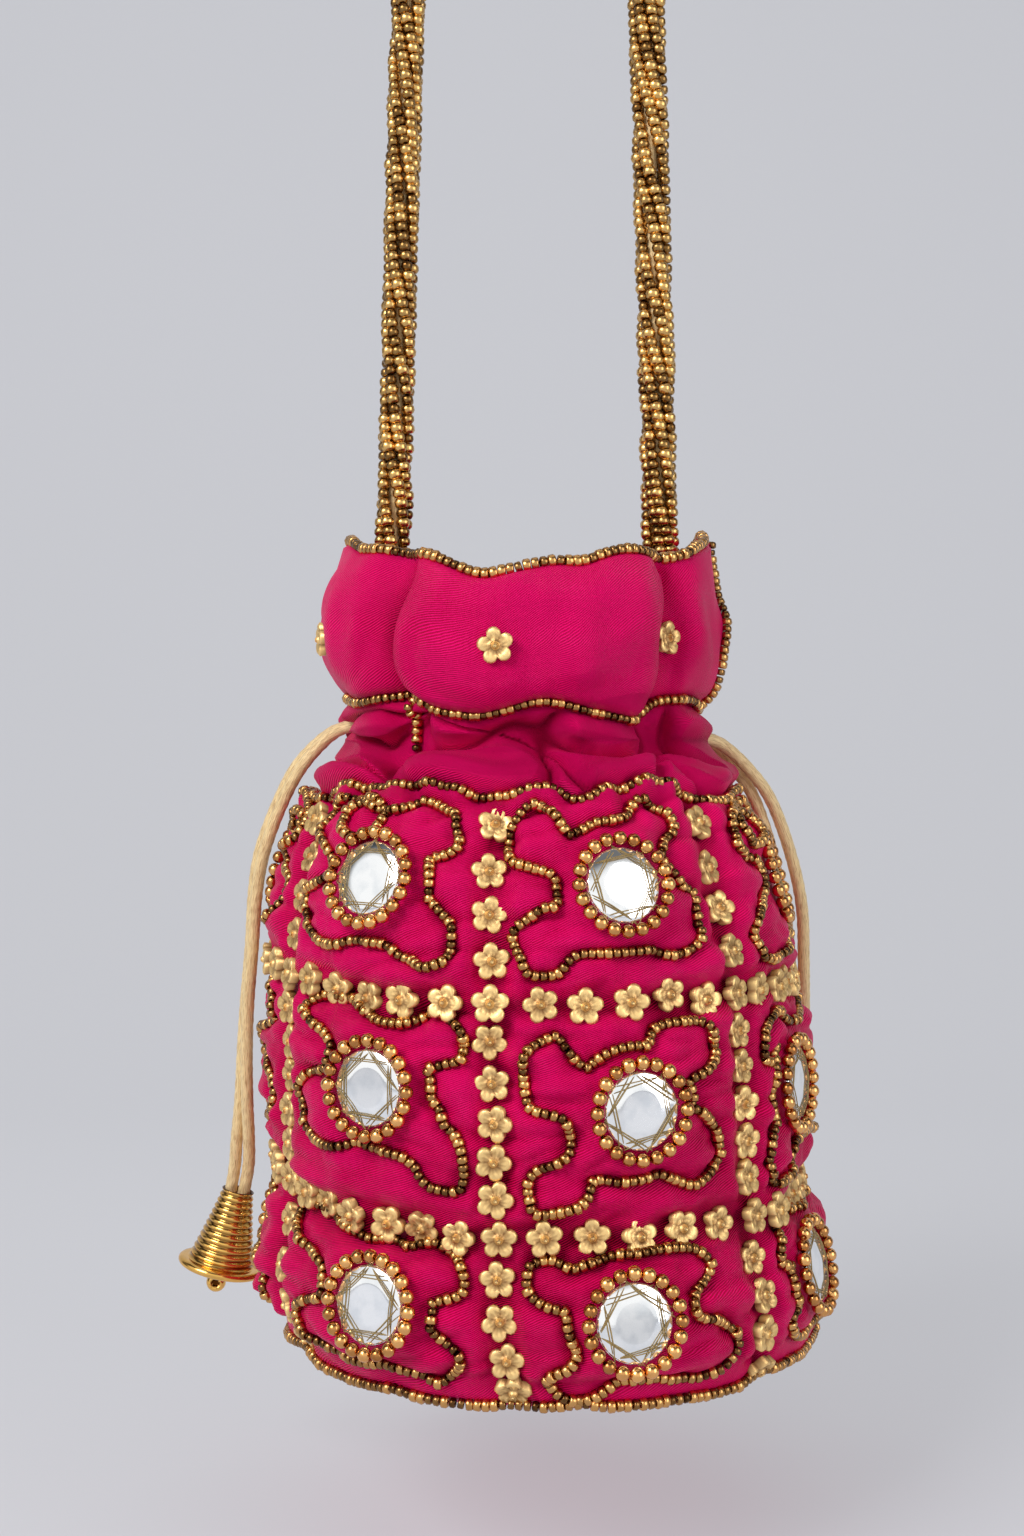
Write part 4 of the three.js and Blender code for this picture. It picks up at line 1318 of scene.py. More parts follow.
# Outlines of seed beads, as distances across and above the middle of their cell.
OUTLINES: dict[tuple[Row, int], Pairs] = {
    (Row.HIGH, 1): (
        (-9.5, 12.0), (-14.5, 18.0), (-18.0, 18.0), (-21.5, 15.0), (-23.5, 11.5), (-23.5, 7.5),
        (-21.0, 6.0), (-16.5, 5.0), (-14.0, 3.5), (-13.6, 0.5), (-14.5, -2.5), (-17.5, -3.0), (-22.0, -5.5),
        (-25.0, -8.0), (-24.5, -11.0), (-23.5, -13.0), (-22.5, -16.0), (-19.0, -16.5), (-15.5, -16.0),
        (-12.5, -13.0), (-9.5, -12.0), (-3.0, -12.0), (2.5, -11.8), (6.0, -11.6), (7.5, -12.0),
        (11.0, -13.0), (15.0, -12.5), (18.5, -11.0), (19.5, -8.0), (19.5, -4.5), (19.5, 0.0), (16.5, 1.0),
        (14.5, 4.0), (12.5, 6.5), (11.9, 8.5), (13.5, 11.0), (16.5, 13.0), (15.0, 16.5), (11.5, 18.5),
        (8.5, 19.4), (6.5, 18.0), (4.5, 16.0), (0.5, 15.0), (-3.5, 14.5), (-8.5, 12.5),
    ),
    (Row.MIDDLE, 1): (
        (-10.5, 10.5), (-13.0, 12.0), (-15.5, 15.0), (-17.0, 17.0), (-20.0, 16.0), (-23.5, 14.0),
        (-24.5, 11.0), (-24.5, 6.5), (-23.5, 2.5), (-20.0, 1.5), (-16.5, 0.5), (-15.0, -2.5), (-15.0, -6.0),
        (-17.0, -8.0), (-22.5, -10.5), (-24.5, -13.0), (-24.0, -16.5), (-23.5, -18.6), (-20.0, -19.0),
        (-14.5, -17.6), (-11.5, -16.0), (-10.0, -12.5), (-4.5, -13.0), (2.0, -12.6), (5.0, -12.0),
        (9.0, -13.5), (13.5, -15.0), (19.0, -13.0), (21.5, -10.5), (21.5, -6.5), (19.5, -3.0), (15.5, 0.0),
        (12.8, 1.5), (12.2, 4.5), (13.0, 7.0), (16.0, 8.0), (20.0, 10.5), (21.0, 13.0), (19.0, 17.0),
        (17.0, 18.6), (11.5, 18.8), (7.5, 18.4), (5.5, 17.5), (3.0, 14.6), (-1.0, 14.0), (-6.5, 12.8),
    ),
    (Row.LOW, 1): (
        (-25.5, 11.0), (-25.0, 12.6), (-22.5, 13.5), (-19.5, 13.8), (-17.0, 13.0), (-14.5, 12.2),
        (-12.5, 12.0), (-9.5, 12.7), (-6.5, 13.2), (-4.0, 13.4), (-2.0, 13.8), (0.0, 14.1), (2.0, 14.3),
        (5.5, 14.6), (7.5, 14.8), (11.0, 14.8), (14.5, 14.0), (17.0, 11.5), (17.0, 9.0), (15.0, 7.0),
        (13.5, 5.4), (12.8, 4.0), (13.0, 2.0), (14.5, 0.5), (17.5, -0.5), (20.0, -2.5), (22.5, -5.0),
        (22.5, -7.5), (21.0, -9.5), (18.5, -11.5), (15.5, -13.4), (12.5, -13.8), (9.0, -13.4), (5.5, -12.7),
        (2.0, -12.3), (-2.5, -12.3), (-5.0, -13.4), (-9.0, -15.2), (-13.0, -16.0), (-17.0, -16.0),
        (-21.0, -15.0), (-23.5, -13.0), (-23.5, -10.5), (-21.5, -9.0), (-18.5, -8.0), (-15.5, -6.0),
        (-14.0, -4.0), (-13.4, -1.5), (-13.4, 0.8), (-14.5, 2.7), (-17.5, 4.0), (-21.5, 4.8), (-24.0, 6.0),
        (-25.8, 8.0),
    ),
    (Row.HIGH, 0): (
        (6.5, 18.6), (9.5, 18.3), (14.0, 16.5), (16.5, 15.5), (17.5, 13.0), (19.0, 10.5), (19.5, 9.0),
        (17.0, 7.5), (14.0, 6.5), (12.2, 5.0), (12.2, 2.5), (12.8, 0.5), (14.0, -1.5), (17.0, -4.0),
        (20.0, -6.5), (21.0, -8.5), (21.0, -11.5), (20.0, -14.5), (17.5, -15.5), (15.0, -16.0),
        (12.0, -15.0), (8.0, -14.0), (5.5, -12.6), (3.0, -11.8), (0.0, -11.6), (-3.5, -11.6), (-6.5, -12.0),
        (-9.0, -13.0), (-13.5, -13.4), (-18.0, -12.0), (-22.0, -9.0), (-24.0, -5.5), (-23.5, -3.0),
        (-19.0, -1.0), (-14.0, 1.5), (-14.2, 5.0), (-16.0, 7.5), (-20.0, 10.0), (-20.5, 13.5),
        (-21.5, 16.0), (-17.0, 18.0), (-12.5, 18.8), (-7.5, 17.0), (-2.0, 15.8), (2.5, 16.2), (5.0, 18.2),
    ),
    (Row.MIDDLE, 0): (
        (-9.0, 19.0), (-12.5, 18.8), (-16.5, 18.4), (-19.0, 17.0), (-20.0, 15.0), (-18.0, 12.8),
        (-14.5, 11.0), (-12.6, 9.0), (-12.0, 7.0), (-12.2, 4.6), (-13.0, 3.0), (-18.0, 1.0), (-21.0, -2.0),
        (-22.0, -5.5), (-20.0, -9.0), (-17.0, -12.0), (-12.5, -12.6), (-8.0, -11.8), (-5.0, -10.4),
        (-2.0, -10.8), (1.0, -11.2), (4.5, -11.4), (8.0, -12.0), (10.5, -14.0), (12.5, -16.0),
        (15.0, -17.5), (18.0, -18.2), (20.5, -18.4), (23.5, -18.0), (24.5, -15.5), (24.5, -12.0),
        (24.0, -9.0), (22.0, -6.0), (20.5, -4.5), (19.0, -1.5), (16.0, 0.6), (13.6, 2.2), (13.0, 4.5),
        (13.6, 6.4), (17.5, 7.0), (21.5, 8.0), (24.0, 8.6), (24.4, 11.5), (24.0, 14.5), (21.5, 16.5),
        (19.0, 17.8), (15.5, 18.6), (12.0, 17.4), (8.5, 16.0), (5.0, 15.3), (1.5, 15.2), (-1.5, 15.6),
        (-4.5, 16.6), (-6.5, 18.0),
    ),
    (Row.LOW, 0): (
        (-25.5, 14.6), (-21.5, 14.8), (-16.5, 15.0), (-13.0, 14.8), (-10.0, 14.2), (-7.0, 13.6),
        (-3.0, 13.4), (0.5, 13.5), (4.0, 13.5), (6.5, 13.5), (9.0, 14.3), (12.0, 14.8), (14.0, 15.0),
        (16.5, 14.8), (19.0, 14.0), (21.5, 13.0), (23.5, 11.5), (24.6, 9.5), (25.0, 8.0), (25.0, 6.0),
        (23.5, 4.8), (20.5, 4.0), (17.0, 3.2), (15.4, 1.5), (16.0, -0.5), (18.0, -2.5), (20.5, -4.5),
        (22.5, -6.0), (23.5, -7.5), (22.8, -9.5), (21.0, -11.5), (19.0, -13.0), (16.5, -14.0),
        (14.0, -14.4), (11.5, -14.2), (9.0, -13.6), (6.5, -12.8), (3.5, -12.2), (0.0, -12.2), (-3.0, -12.4),
        (-7.0, -12.8), (-11.0, -12.8), (-15.0, -12.2), (-19.0, -10.8), (-22.5, -8.5), (-23.0, -6.0),
        (-20.5, -4.0), (-16.5, -2.0), (-13.6, -0.5), (-13.2, 1.5), (-13.6, 4.0), (-14.2, 6.0), (-16.5, 7.2),
        (-19.5, 8.2), (-22.5, 9.4), (-25.0, 11.0), (-26.4, 12.6),
    ),
}


# How far each mirror sits across and above its usual place.
MIRROR_SHIFTS: dict[tuple[Row, int], tuple[float, float]] = {
    (Row.LOW, 0): (5.0, 1.8),
    (Row.LOW, 1): (-4.0, 0.6),
    (Row.MIDDLE, 0): (4.0, 3.7),
    (Row.MIDDLE, 1): (-0.3, 0.6),
    (Row.HIGH, 0): (1.4, 1.2),
    (Row.HIGH, 1): (-0.2, 0.4),
    (Row.LOW, 2): (-12.5, 1.5),
    (Row.MIDDLE, 2): (-12.5, 0.0),
    (Row.HIGH, 2): (1.0, 0.0),
    (Row.LOW, 5): (-6.0, 0.0),
    (Row.MIDDLE, 5): (-6.0, 0.0),
    (Row.HIGH, 5): (-4.0, 0.0),
}


@dataclass(frozen=True)
class Cell:
    """One cell of the pouch: its mirror's place and its outline."""

    row: Row
    panel: int
    clearance: float = 12.9
    outline_panel_width: float = 57.0
    shift_limit: float = 5.0
    shift_reach: float = 14.5

    @property
    def shift(self) -> tuple[float, float]:
        """Distances of the mirror across and above its usual place."""
        return MIRROR_SHIFTS.get((self.row, self.panel), (0.0, 0.0))

    @property
    def mirror_angle(self) -> float:
        """Angle of the mirror's middle."""
        return self.angle + math.degrees(self.shift[0] / float(FORM.profile(self.row.mirror_height)))

    @property
    def mirror_height(self) -> float:
        """Height of the mirror's middle."""
        height = self.row.mirror_height + self.shift[1]
        return height + float(FORM.rise(self.mirror_angle, height))

    @property
    def angle(self) -> float:
        """Angle of the cell's middle."""
        return FORM.seams[self.panel] + FORM.panel_width(self.panel) / 2

    def outline(self) -> Array:
        """The outline, mirrored on every other panel past the first two.

        Returns:
            Angle and height pairs.
        """
        pairs = np.array(OUTLINES[self.row, self.panel % 2])
        if self.panel >= 2 and self.panel % 4 >= 2:
            pairs[:, 0] *= -1
        heights = self.row.middle + pairs[:, 1] + self.shift[1]
        across = pairs[:, 0] * (FORM.panel_width(self.panel) / self.outline_panel_width)
        shift = np.clip(self.shift[0], -self.shift_limit, self.shift_limit)
        across = across + shift * fade(across, self.shift_reach, 4)
        angles = self.angle + np.degrees(across / FORM.profile(np.maximum(heights, 4)))
        return np.stack([angles, heights + FORM.rise(angles, heights)], -1)

    def dense_outline(self) -> tuple[Array, Array]:
        """Close points along the outline, which keeps clear of the mirror's ring.

        Returns:
            Their angles and their heights.
        """
        outline = self.outline()
        dense = smooth_line(np.column_stack([outline, np.zeros(len(outline))]), 150, closed=True)
        per_degree = math.radians(float(FORM.profile(self.mirror_height)))
        off = np.stack([(dense[:, 0] - self.mirror_angle) * per_degree, dense[:, 1] - self.mirror_height], -1)
        away = np.maximum(np.linalg.norm(off, axis=1, keepdims=True), 0.1)
        off = off * np.maximum(self.clearance / away, 1)
        return self.mirror_angle + off[:, 0] / per_degree, self.mirror_height + off[:, 1]


CELLS = [Cell(row, panel) for row in Row for panel in range(len(FORM.seams))]

# Angles and heights of the single flowers on the collar.
COLLAR_FLOWERS = (
    (-79.0, 163.0), (-8.0, 158.8), (46.5, 161.5), (110.0, 162.0), (172.0, 162.0), (234.0, 162.0),
)


@dataclass(frozen=True)
class Seat:
    """Where a mirror lies on the cloth, and the ways that it faces."""

    centre: Array
    facing: Array
    across: Array
    up: Array

    @classmethod
    def on(cls, drape: Drape, cell: Cell, lift: float) -> "Seat":
        """The seat of a cell's mirror.

        Args:
            drape: The finished cloth.
            cell: The cell.
            lift: Distance of the mirror's back off the cloth.

        Returns:
            The seat.
        """
        spot = np.array([cell.mirror_angle]), np.array([cell.mirror_height])
        facing = FORM.normal(*spot)[0]
        across = unit(np.cross((0, 0, 1), facing))
        return cls(drape.settle(*spot, lift)[0], facing, across, np.cross(facing, across))

    def flat(self, turns: Array) -> Array:
        """The ways in the mirror's plane at turns round it."""
        return np.cos(turns)[:, None] * self.across + np.sin(turns)[:, None] * self.up


@dataclass
class Beadwork:
    """Flower beads, mirrors and seed beads sewn to the bag."""

    flower_radius: float = 4.0
    flower_height: float = 1.7
    flower_lift: float = 0.75
    flower_sides: int = 30
    seed_diameter: float = 2.5
    seed_length: float = 1.5
    seed_pitch: float = 1.74
    seed_hole: float = 0.3
    seed_lift: float = 0.36
    rim_scale: float = 1.06
    ring_diameter: float = 3.1
    ring_radius: float = 9.9
    ring_count: int = 20
    ring_lift: float = 0.42
    ball_hole: float = 0.22
    mirror_diameter: float = 16.0
    mirror_thickness: float = 1.1
    mirror_lift: float = 0.5
    window: float = 5.7
    thread_diameter: float = 0.26
    thread_lift: float = 0.12
    thread_offsets: tuple[float, float] = (-0.2, 0.35)
    column_bottom: float = 4.0
    column_top: float = 121.0
    column_pitch: float = 8.4
    row_pitch: float = 9.2
    base_line: float = 2.4
    base_wave: float = 0.5
    side_line: float = 85.0
    side_sway: float = 3.0
    short_line: float = -40.5
    short_reach: tuple[float, float] = (3.5, -7.5)
    shoulder_loops: tuple[tuple[float, float, float], ...] = (
        (-40.5, 121.5, 4.6), (-78.0, 118.5, 4.2), (64.0, 119.5, 4.4),
    )
    trees: dict[str, GeometryTree] = field(default_factory=dict)
    drape: Drape | None = None

    def seed(self, scale: float = 1.0) -> bpy.types.Object:
        """A barrel-shaped bead with its hole along +Z.

        Args:
            scale: Its size against the other seed beads.

        Returns:
            The bead.
        """
        r, half = self.seed_diameter / 2 * scale, self.seed_length / 2 * scale
        upper = [(r, half * 0.6), (r * 0.8, half), (self.seed_hole, half * 0.8)]
        return template("seed_shape", *turned(upper[::-1] + [(x, -z) for x, z in upper], 8))

    def ball(self, diameter: float) -> bpy.types.Object:
        """A round bead with a small hole along +Z.

        Args:
            diameter: Its diameter.

        Returns:
            The bead.
        """
        r = diameter / 2
        turns = np.linspace(self.ball_hole, math.pi - self.ball_hole, 7)
        section = [(r * math.sin(t), -r * math.cos(t)) for t in turns]
        return template("ball_shape", *turned(section[::-1], 10))

    def flower(self) -> bpy.types.Object:
        """A cast flower of five round dished petals about a small ball, which faces +Z.

        Returns:
            The flower, with painted shade and highlight for each of its points, kept as relief values.
        """
        sides = self.flower_sides
        turns = np.linspace(0, 2 * np.pi, sides, endpoint=False)
        off_tip = (turns + np.pi / 5) % (2 * np.pi / 5) - np.pi / 5
        middle, round_part = self.flower_radius * 0.6, self.flower_radius * 0.4
        reach = middle * np.cos(off_tip) + np.sqrt(round_part**2 - (middle * np.sin(off_tip)) ** 2)
        tip = np.abs(off_tip) / (np.pi / 5)
        vein = np.where(tip < 0.1, 0.34, 0.0)
        notch = tip > 0.9
        top = self.flower_height
        # Each ring's third value is painted light: under 1 paints shade at the ball's foot, in the petals'
        # dishes, in the notches and under the edge; over 1 paints highlights on the ball, the veins and the
        # petals' rims.
        rows = (
            (np.full(sides, 0.4), np.full(sides, top + 0.45), np.full(sides, 1.3)),
            (np.full(sides, 0.86), np.full(sides, top - 0.1), np.full(sides, 1.0)),
            (np.full(sides, 1.0), np.full(sides, top - 0.6), np.full(sides, 0.4)),
            (reach * 0.6, top - 0.62 + vein - 0.3 * notch, 0.72 + 0.5 * (vein > 0) - 0.5 * notch),
            (reach * 0.84, top - 0.08 - 0.3 * notch, 1.25 - 0.7 * notch),
            (reach, top - 0.5 - 0.2 * notch, 0.85 - 0.5 * notch),
            (reach * 0.92, np.full(sides, -0.6), np.full(sides, 0.15)),
        )
        points, relief = [], []
        for radius, height, value in rows:
            ring = [radius * np.sin(turns), radius * np.cos(turns), np.broadcast_to(height, (sides,))]
            points += np.stack(ring, -1).tolist()
            relief += list(value)
        faces = [
            [
                i * sides + (j + 1) % sides,
                i * sides + j,
                (i + 1) * sides + j,
                (i + 1) * sides + (j + 1) % sides,
            ]
            for i in range(len(rows) - 1)
            for j in range(sides)
        ]
        faces.append(list(range(sides))[::-1])
        faces.append(list(range((len(rows) - 1) * sides, len(rows) * sides)))
        return template("flower_shape", np.array(points), faces, relief=relief)

    def flower_places(self) -> Array:
        """Where the flower beads are sewn: up each seam, along both rows and on the collar.

        Returns:
            Angle and height pairs.
        """
        found = []
        for seam in FORM.seams:
            stops = (self.column_bottom, FORM.lower_row, FORM.upper_row, self.column_top)
            heights = [stops[0]]
            for low, high in zip(stops, stops[1:]):
                count = max(round((high - low) / self.column_pitch), 1)
                heights += list(np.linspace(low, high, count + 1)[1:])
            found += [(seam, height) for height in heights]
        for row in (FORM.lower_row, FORM.upper_row):
            for panel, seam in enumerate(FORM.seams):
                width = FORM.panel_width(panel)
                count = max(round(math.radians(width) * float(FORM.profile(row)) / self.row_pitch), 1)
                found += [(seam + width * i / count, row) for i in range(1, count)]
        sewn = np.array(found)
        sewn[:, 1] += FORM.rise(sewn[:, 0], sewn[:, 1])
        return np.vstack([sewn, COLLAR_FLOWERS])

    def build_flowers(self) -> None:
        """Sews on the flower beads, each turned a little its own way."""
        places = self.flower_places()
        rng = np.random.default_rng(11)
        angle = places[:, 0] + rng.normal(0, 0.35, len(places))
        height = places[:, 1] + rng.normal(0, 0.3, len(places))
        facing = FORM.normal(angle, height)
        spin = np.radians(rng.normal(0, 14, len(places)))[:, None]
        level = unit(np.cross((0, 0, 1), facing))
        up = np.cross(facing, level) * np.cos(spin) + level * np.sin(spin)
        source = point_mesh("flower_points", self.drape.settle(angle, height, self.flower_lift), facing, up)
        flowers = self.trees["studded"].apply(
            "flower_beads",
            source,
            {
                "Shape": self.flower(),
                "Seed": 5,
                "Tilt": 0.13,
                "Size spread": 0.04,
                "Material": Finish.FLOWER.material(),
            },
        )
        dress(flowers, Finish.FLOWER, "flower_net")

    def build_mirrors(self) -> None:
        """Sets each mirror in its ring of round beads under crossed threads."""
        rings, threads = [], []
        facings, ups = [], []
        for cell in CELLS:
            seat = Seat.on(self.drape, cell, self.mirror_lift)
            self._mirror(cell, seat)
            turns = np.linspace(0, 2 * np.pi, self.ring_count, endpoint=False) + 0.3 * cell.panel
            flat = seat.flat(turns)
            rise = seat.facing * (self.ring_diameter * self.ring_lift)
            rings.append(seat.centre + flat * self.ring_radius + rise)
            facings.append(np.cross(flat, seat.facing))
            ups.append(np.broadcast_to(seat.facing, flat.shape))
            threads += self._threads(cell, seat)
        source = point_mesh("ring_points", np.vstack(rings), np.vstack(facings), np.vstack(ups))
        values = {"Shape": self.ball(self.ring_diameter), "Seed": 3, "Tilt": 0.3, "Size spread": 0.05}
        beads = self.trees["studded"].apply(
            "ring_beads", source, {**values, "Material": Finish.RING.material()}
        )
        dress(beads, Finish.RING)
        values = {"Diameter": self.thread_diameter * MM, "Material": Finish.THREAD.material()}
        crossed = self.trees["thread"].apply("mirror_threads", line_mesh("thread_lines", threads), values)
        dress(crossed, Finish.THREAD)

    def _mirror(self, cell: Cell, seat: Seat) -> None:
        """Makes one round mirror with a ground edge.

        Args:
            cell: The mirror's cell.
            seat: Where it lies.
        """
        radius, thick = self.mirror_diameter / 2, self.mirror_thickness
        flat = seat.flat(np.linspace(0, 2 * np.pi, 48, endpoint=False))
        profile = (
            (radius - 0.15, 0.0),
            (radius, 0.2),
            (radius, thick - 0.3),
            (radius - 0.35, thick),
            (radius * 0.5, thick),
        )
        rings = np.stack([seat.centre + flat * r + seat.facing * h for r, h in profile])
        name = f"{cell.row.label}_{cell.panel + 1}"
        dress(ring_mesh(f"mirror_glass_{name}", rings, poles=(True, True)), Finish.MIRROR, f"mirror_{name}")

    def _threads(self, cell: Cell, seat: Seat) -> list[Array]:
        """Threads that hold one mirror and leave an eight-sided window.

        Args:
            cell: The mirror's cell.
            seat: Where it lies.

        Returns:
            Points along each thread.
        """
        rng = np.random.default_rng(40 + cell.panel + 10 * list(Row).index(cell.row))
        face = seat.centre + seat.facing * (self.mirror_thickness + self.thread_lift)
        edge = self.mirror_diameter / 2 + 0.4
        share = np.array([-1.0, -0.5, 0.0, 0.5, 1.0])[:, None]
        ends = np.where(np.abs(share) > 0.9, -0.6, 0.0)
        lines = []
        for step in range(8):
            for offset in self.thread_offsets:
                turn = math.radians(45 * step + rng.normal(0, 2.5)) + 0.2 * cell.panel
                away = self.window + offset + rng.normal(0, 0.12)
                half = math.sqrt(edge**2 - away**2)
                out = math.cos(turn) * seat.across + math.sin(turn) * seat.up
                side = -math.sin(turn) * seat.across + math.cos(turn) * seat.up
                bow = (1 - share**2) * 0.25 + abs(rng.normal(0, 0.08))
                drift = away + 0.25 * share**2 * rng.normal()
                lines.append(face + out * drift + side * half * share + seat.facing * (bow + ends))
        return lines

    def seed_lines(self) -> dict[str, tuple[list[Array], bool]]:
        """Lines that seed beads follow.

        Returns:
            By piece, the lines and whether they close.
        """
        lift = self.seed_diameter * self.seed_lift
        around = np.linspace(180, 540, 400, endpoint=False)
        outlines = [self.drape.settle(*cell.dense_outline(), lift) for cell in CELLS]
        outlines += [self._loop(*place, lift) for place in self.shoulder_loops]
        base = self.base_line + self.base_wave * np.sin(np.radians(around) * 9)
        side = np.linspace(FORM.seam_height + 1, float(FORM.rim(94.0)) - 1, 60)
        short = np.linspace(*(FORM.seam_height + reach for reach in self.short_reach), 24)
        upright = [
            self.drape.settle(self.side_line + self.side_sway * np.sin(side / 9), side, lift),
            self.drape.settle(np.full(24, self.short_line), short, lift),
        ]
        return {
            "outline_beads": (outlines, True),
            "seam_beads": ([self.drape.settle(around, CLOTH_EDGES.seam_line(around), lift)], True),
            "top_beads": ([self.drape.settle(around, CLOTH_EDGES.top_line(around), lift)], True),
            "side_beads": (upright, False),
            "base_edge_beads": ([self.drape.settle(around, base, lift)], True),
            "rim_line_beads": ([CLOTH_EDGES.rim_points(around)], True),
        }

    def _loop(self, angle: float, height: float, radius: float, lift: float) -> Array:
        """A small round loop of seed beads on the cloth.

        Args:
            angle: Angle of its middle.
            height: Height of its middle.
            radius: Its radius.
            lift: Distance off the cloth.

        Returns:
            Points round the loop.
        """
        turns = np.linspace(0, 2 * np.pi, 60, endpoint=False)
        across = np.degrees(radius * np.cos(turns) / float(FORM.profile(height)))
        return self.drape.settle(angle + across, height + 0.9 * radius * np.sin(turns), lift)

    def build_seeds(self) -> None:
        """Strings the seed beads round the cells and along the edges."""
        seeds = {scale: self.seed(scale) for scale in (self.rim_scale, 1.0)}
        settings = [f"mirror_setting_{row.label}_{panel}" for row in Row for panel in range(1, 7)]
        nodes = {
            "outline_beads": settings,
            "seam_beads": ["collar_seam_beads"],
            "top_beads": ["pouch_top_beads"],
            "side_beads": ["collar_side_beads"],
            "base_edge_beads": ["base_beads"],
            "rim_line_beads": ["rim_beads"],
        }
        for name, (lines, closed) in self.seed_lines().items():
            scale = self.rim_scale if name == "rim_line_beads" else 1.0
            values = {
                "Shape": seeds[scale],
                "Pitch": self.seed_pitch * scale * MM,
                "Tilt": 0.18,
                "Size spread": 0.14,
                "Seed": len(name),
                "Material": Finish.SEED.material(),
            }
            made = self.trees["strung"].apply(name, line_mesh(name + "_lines", lines, closed), values)
            dress(made, Finish.SEED, *nodes[name])
        for seed in seeds.values():
            bpy.data.objects.remove(seed)


# Cloth


def distance_to(lines: Sequence[Array], points: Array) -> Array:
    """Distance from points to sewn lines.

    Args:
        lines: Close points along each line.
        points: Points in millimetres, in an array of any shape.

    Returns:
        One distance for each point.
    """
    known = np.vstack(lines)
    tree = KDTree(len(known))
    for i, point in enumerate(known):
        tree.insert(point, i)
    tree.balance()
    found = [tree.find(point)[2] for point in points.reshape(-1, 3)]
    return np.array(found).reshape(points.shape[:-1])


def level_ring(ring: Array, radius: float, height: float) -> Array:
    """A round ring of points at one height."""
    return FORM.place(ring, np.full(len(ring), radius), np.full(len(ring), height))


@dataclass(frozen=True)
class Wrinkle:
    """Bumps of one size in the cloth, stretched along the axes and sheared by a lean."""

    size: float
    depth: float
    seed: int
    stretch: tuple[float, float, float] = (1.0, 1.0, 1.0)
    lean: float = 0.0

    def at(self, points: Array) -> Array:
        """Height of the bumps.

        Args:
            points: Points in millimetres.

        Returns:
            One height for each point, up and down from the bare cloth.
        """
        x, y, z = self.stretch
        sheared = points @ np.array([[x, 0, self.lean], [0, y, 0], [-self.lean, 0, z]])
        return soft_noise(sheared, self.size, self.seed) * self.depth


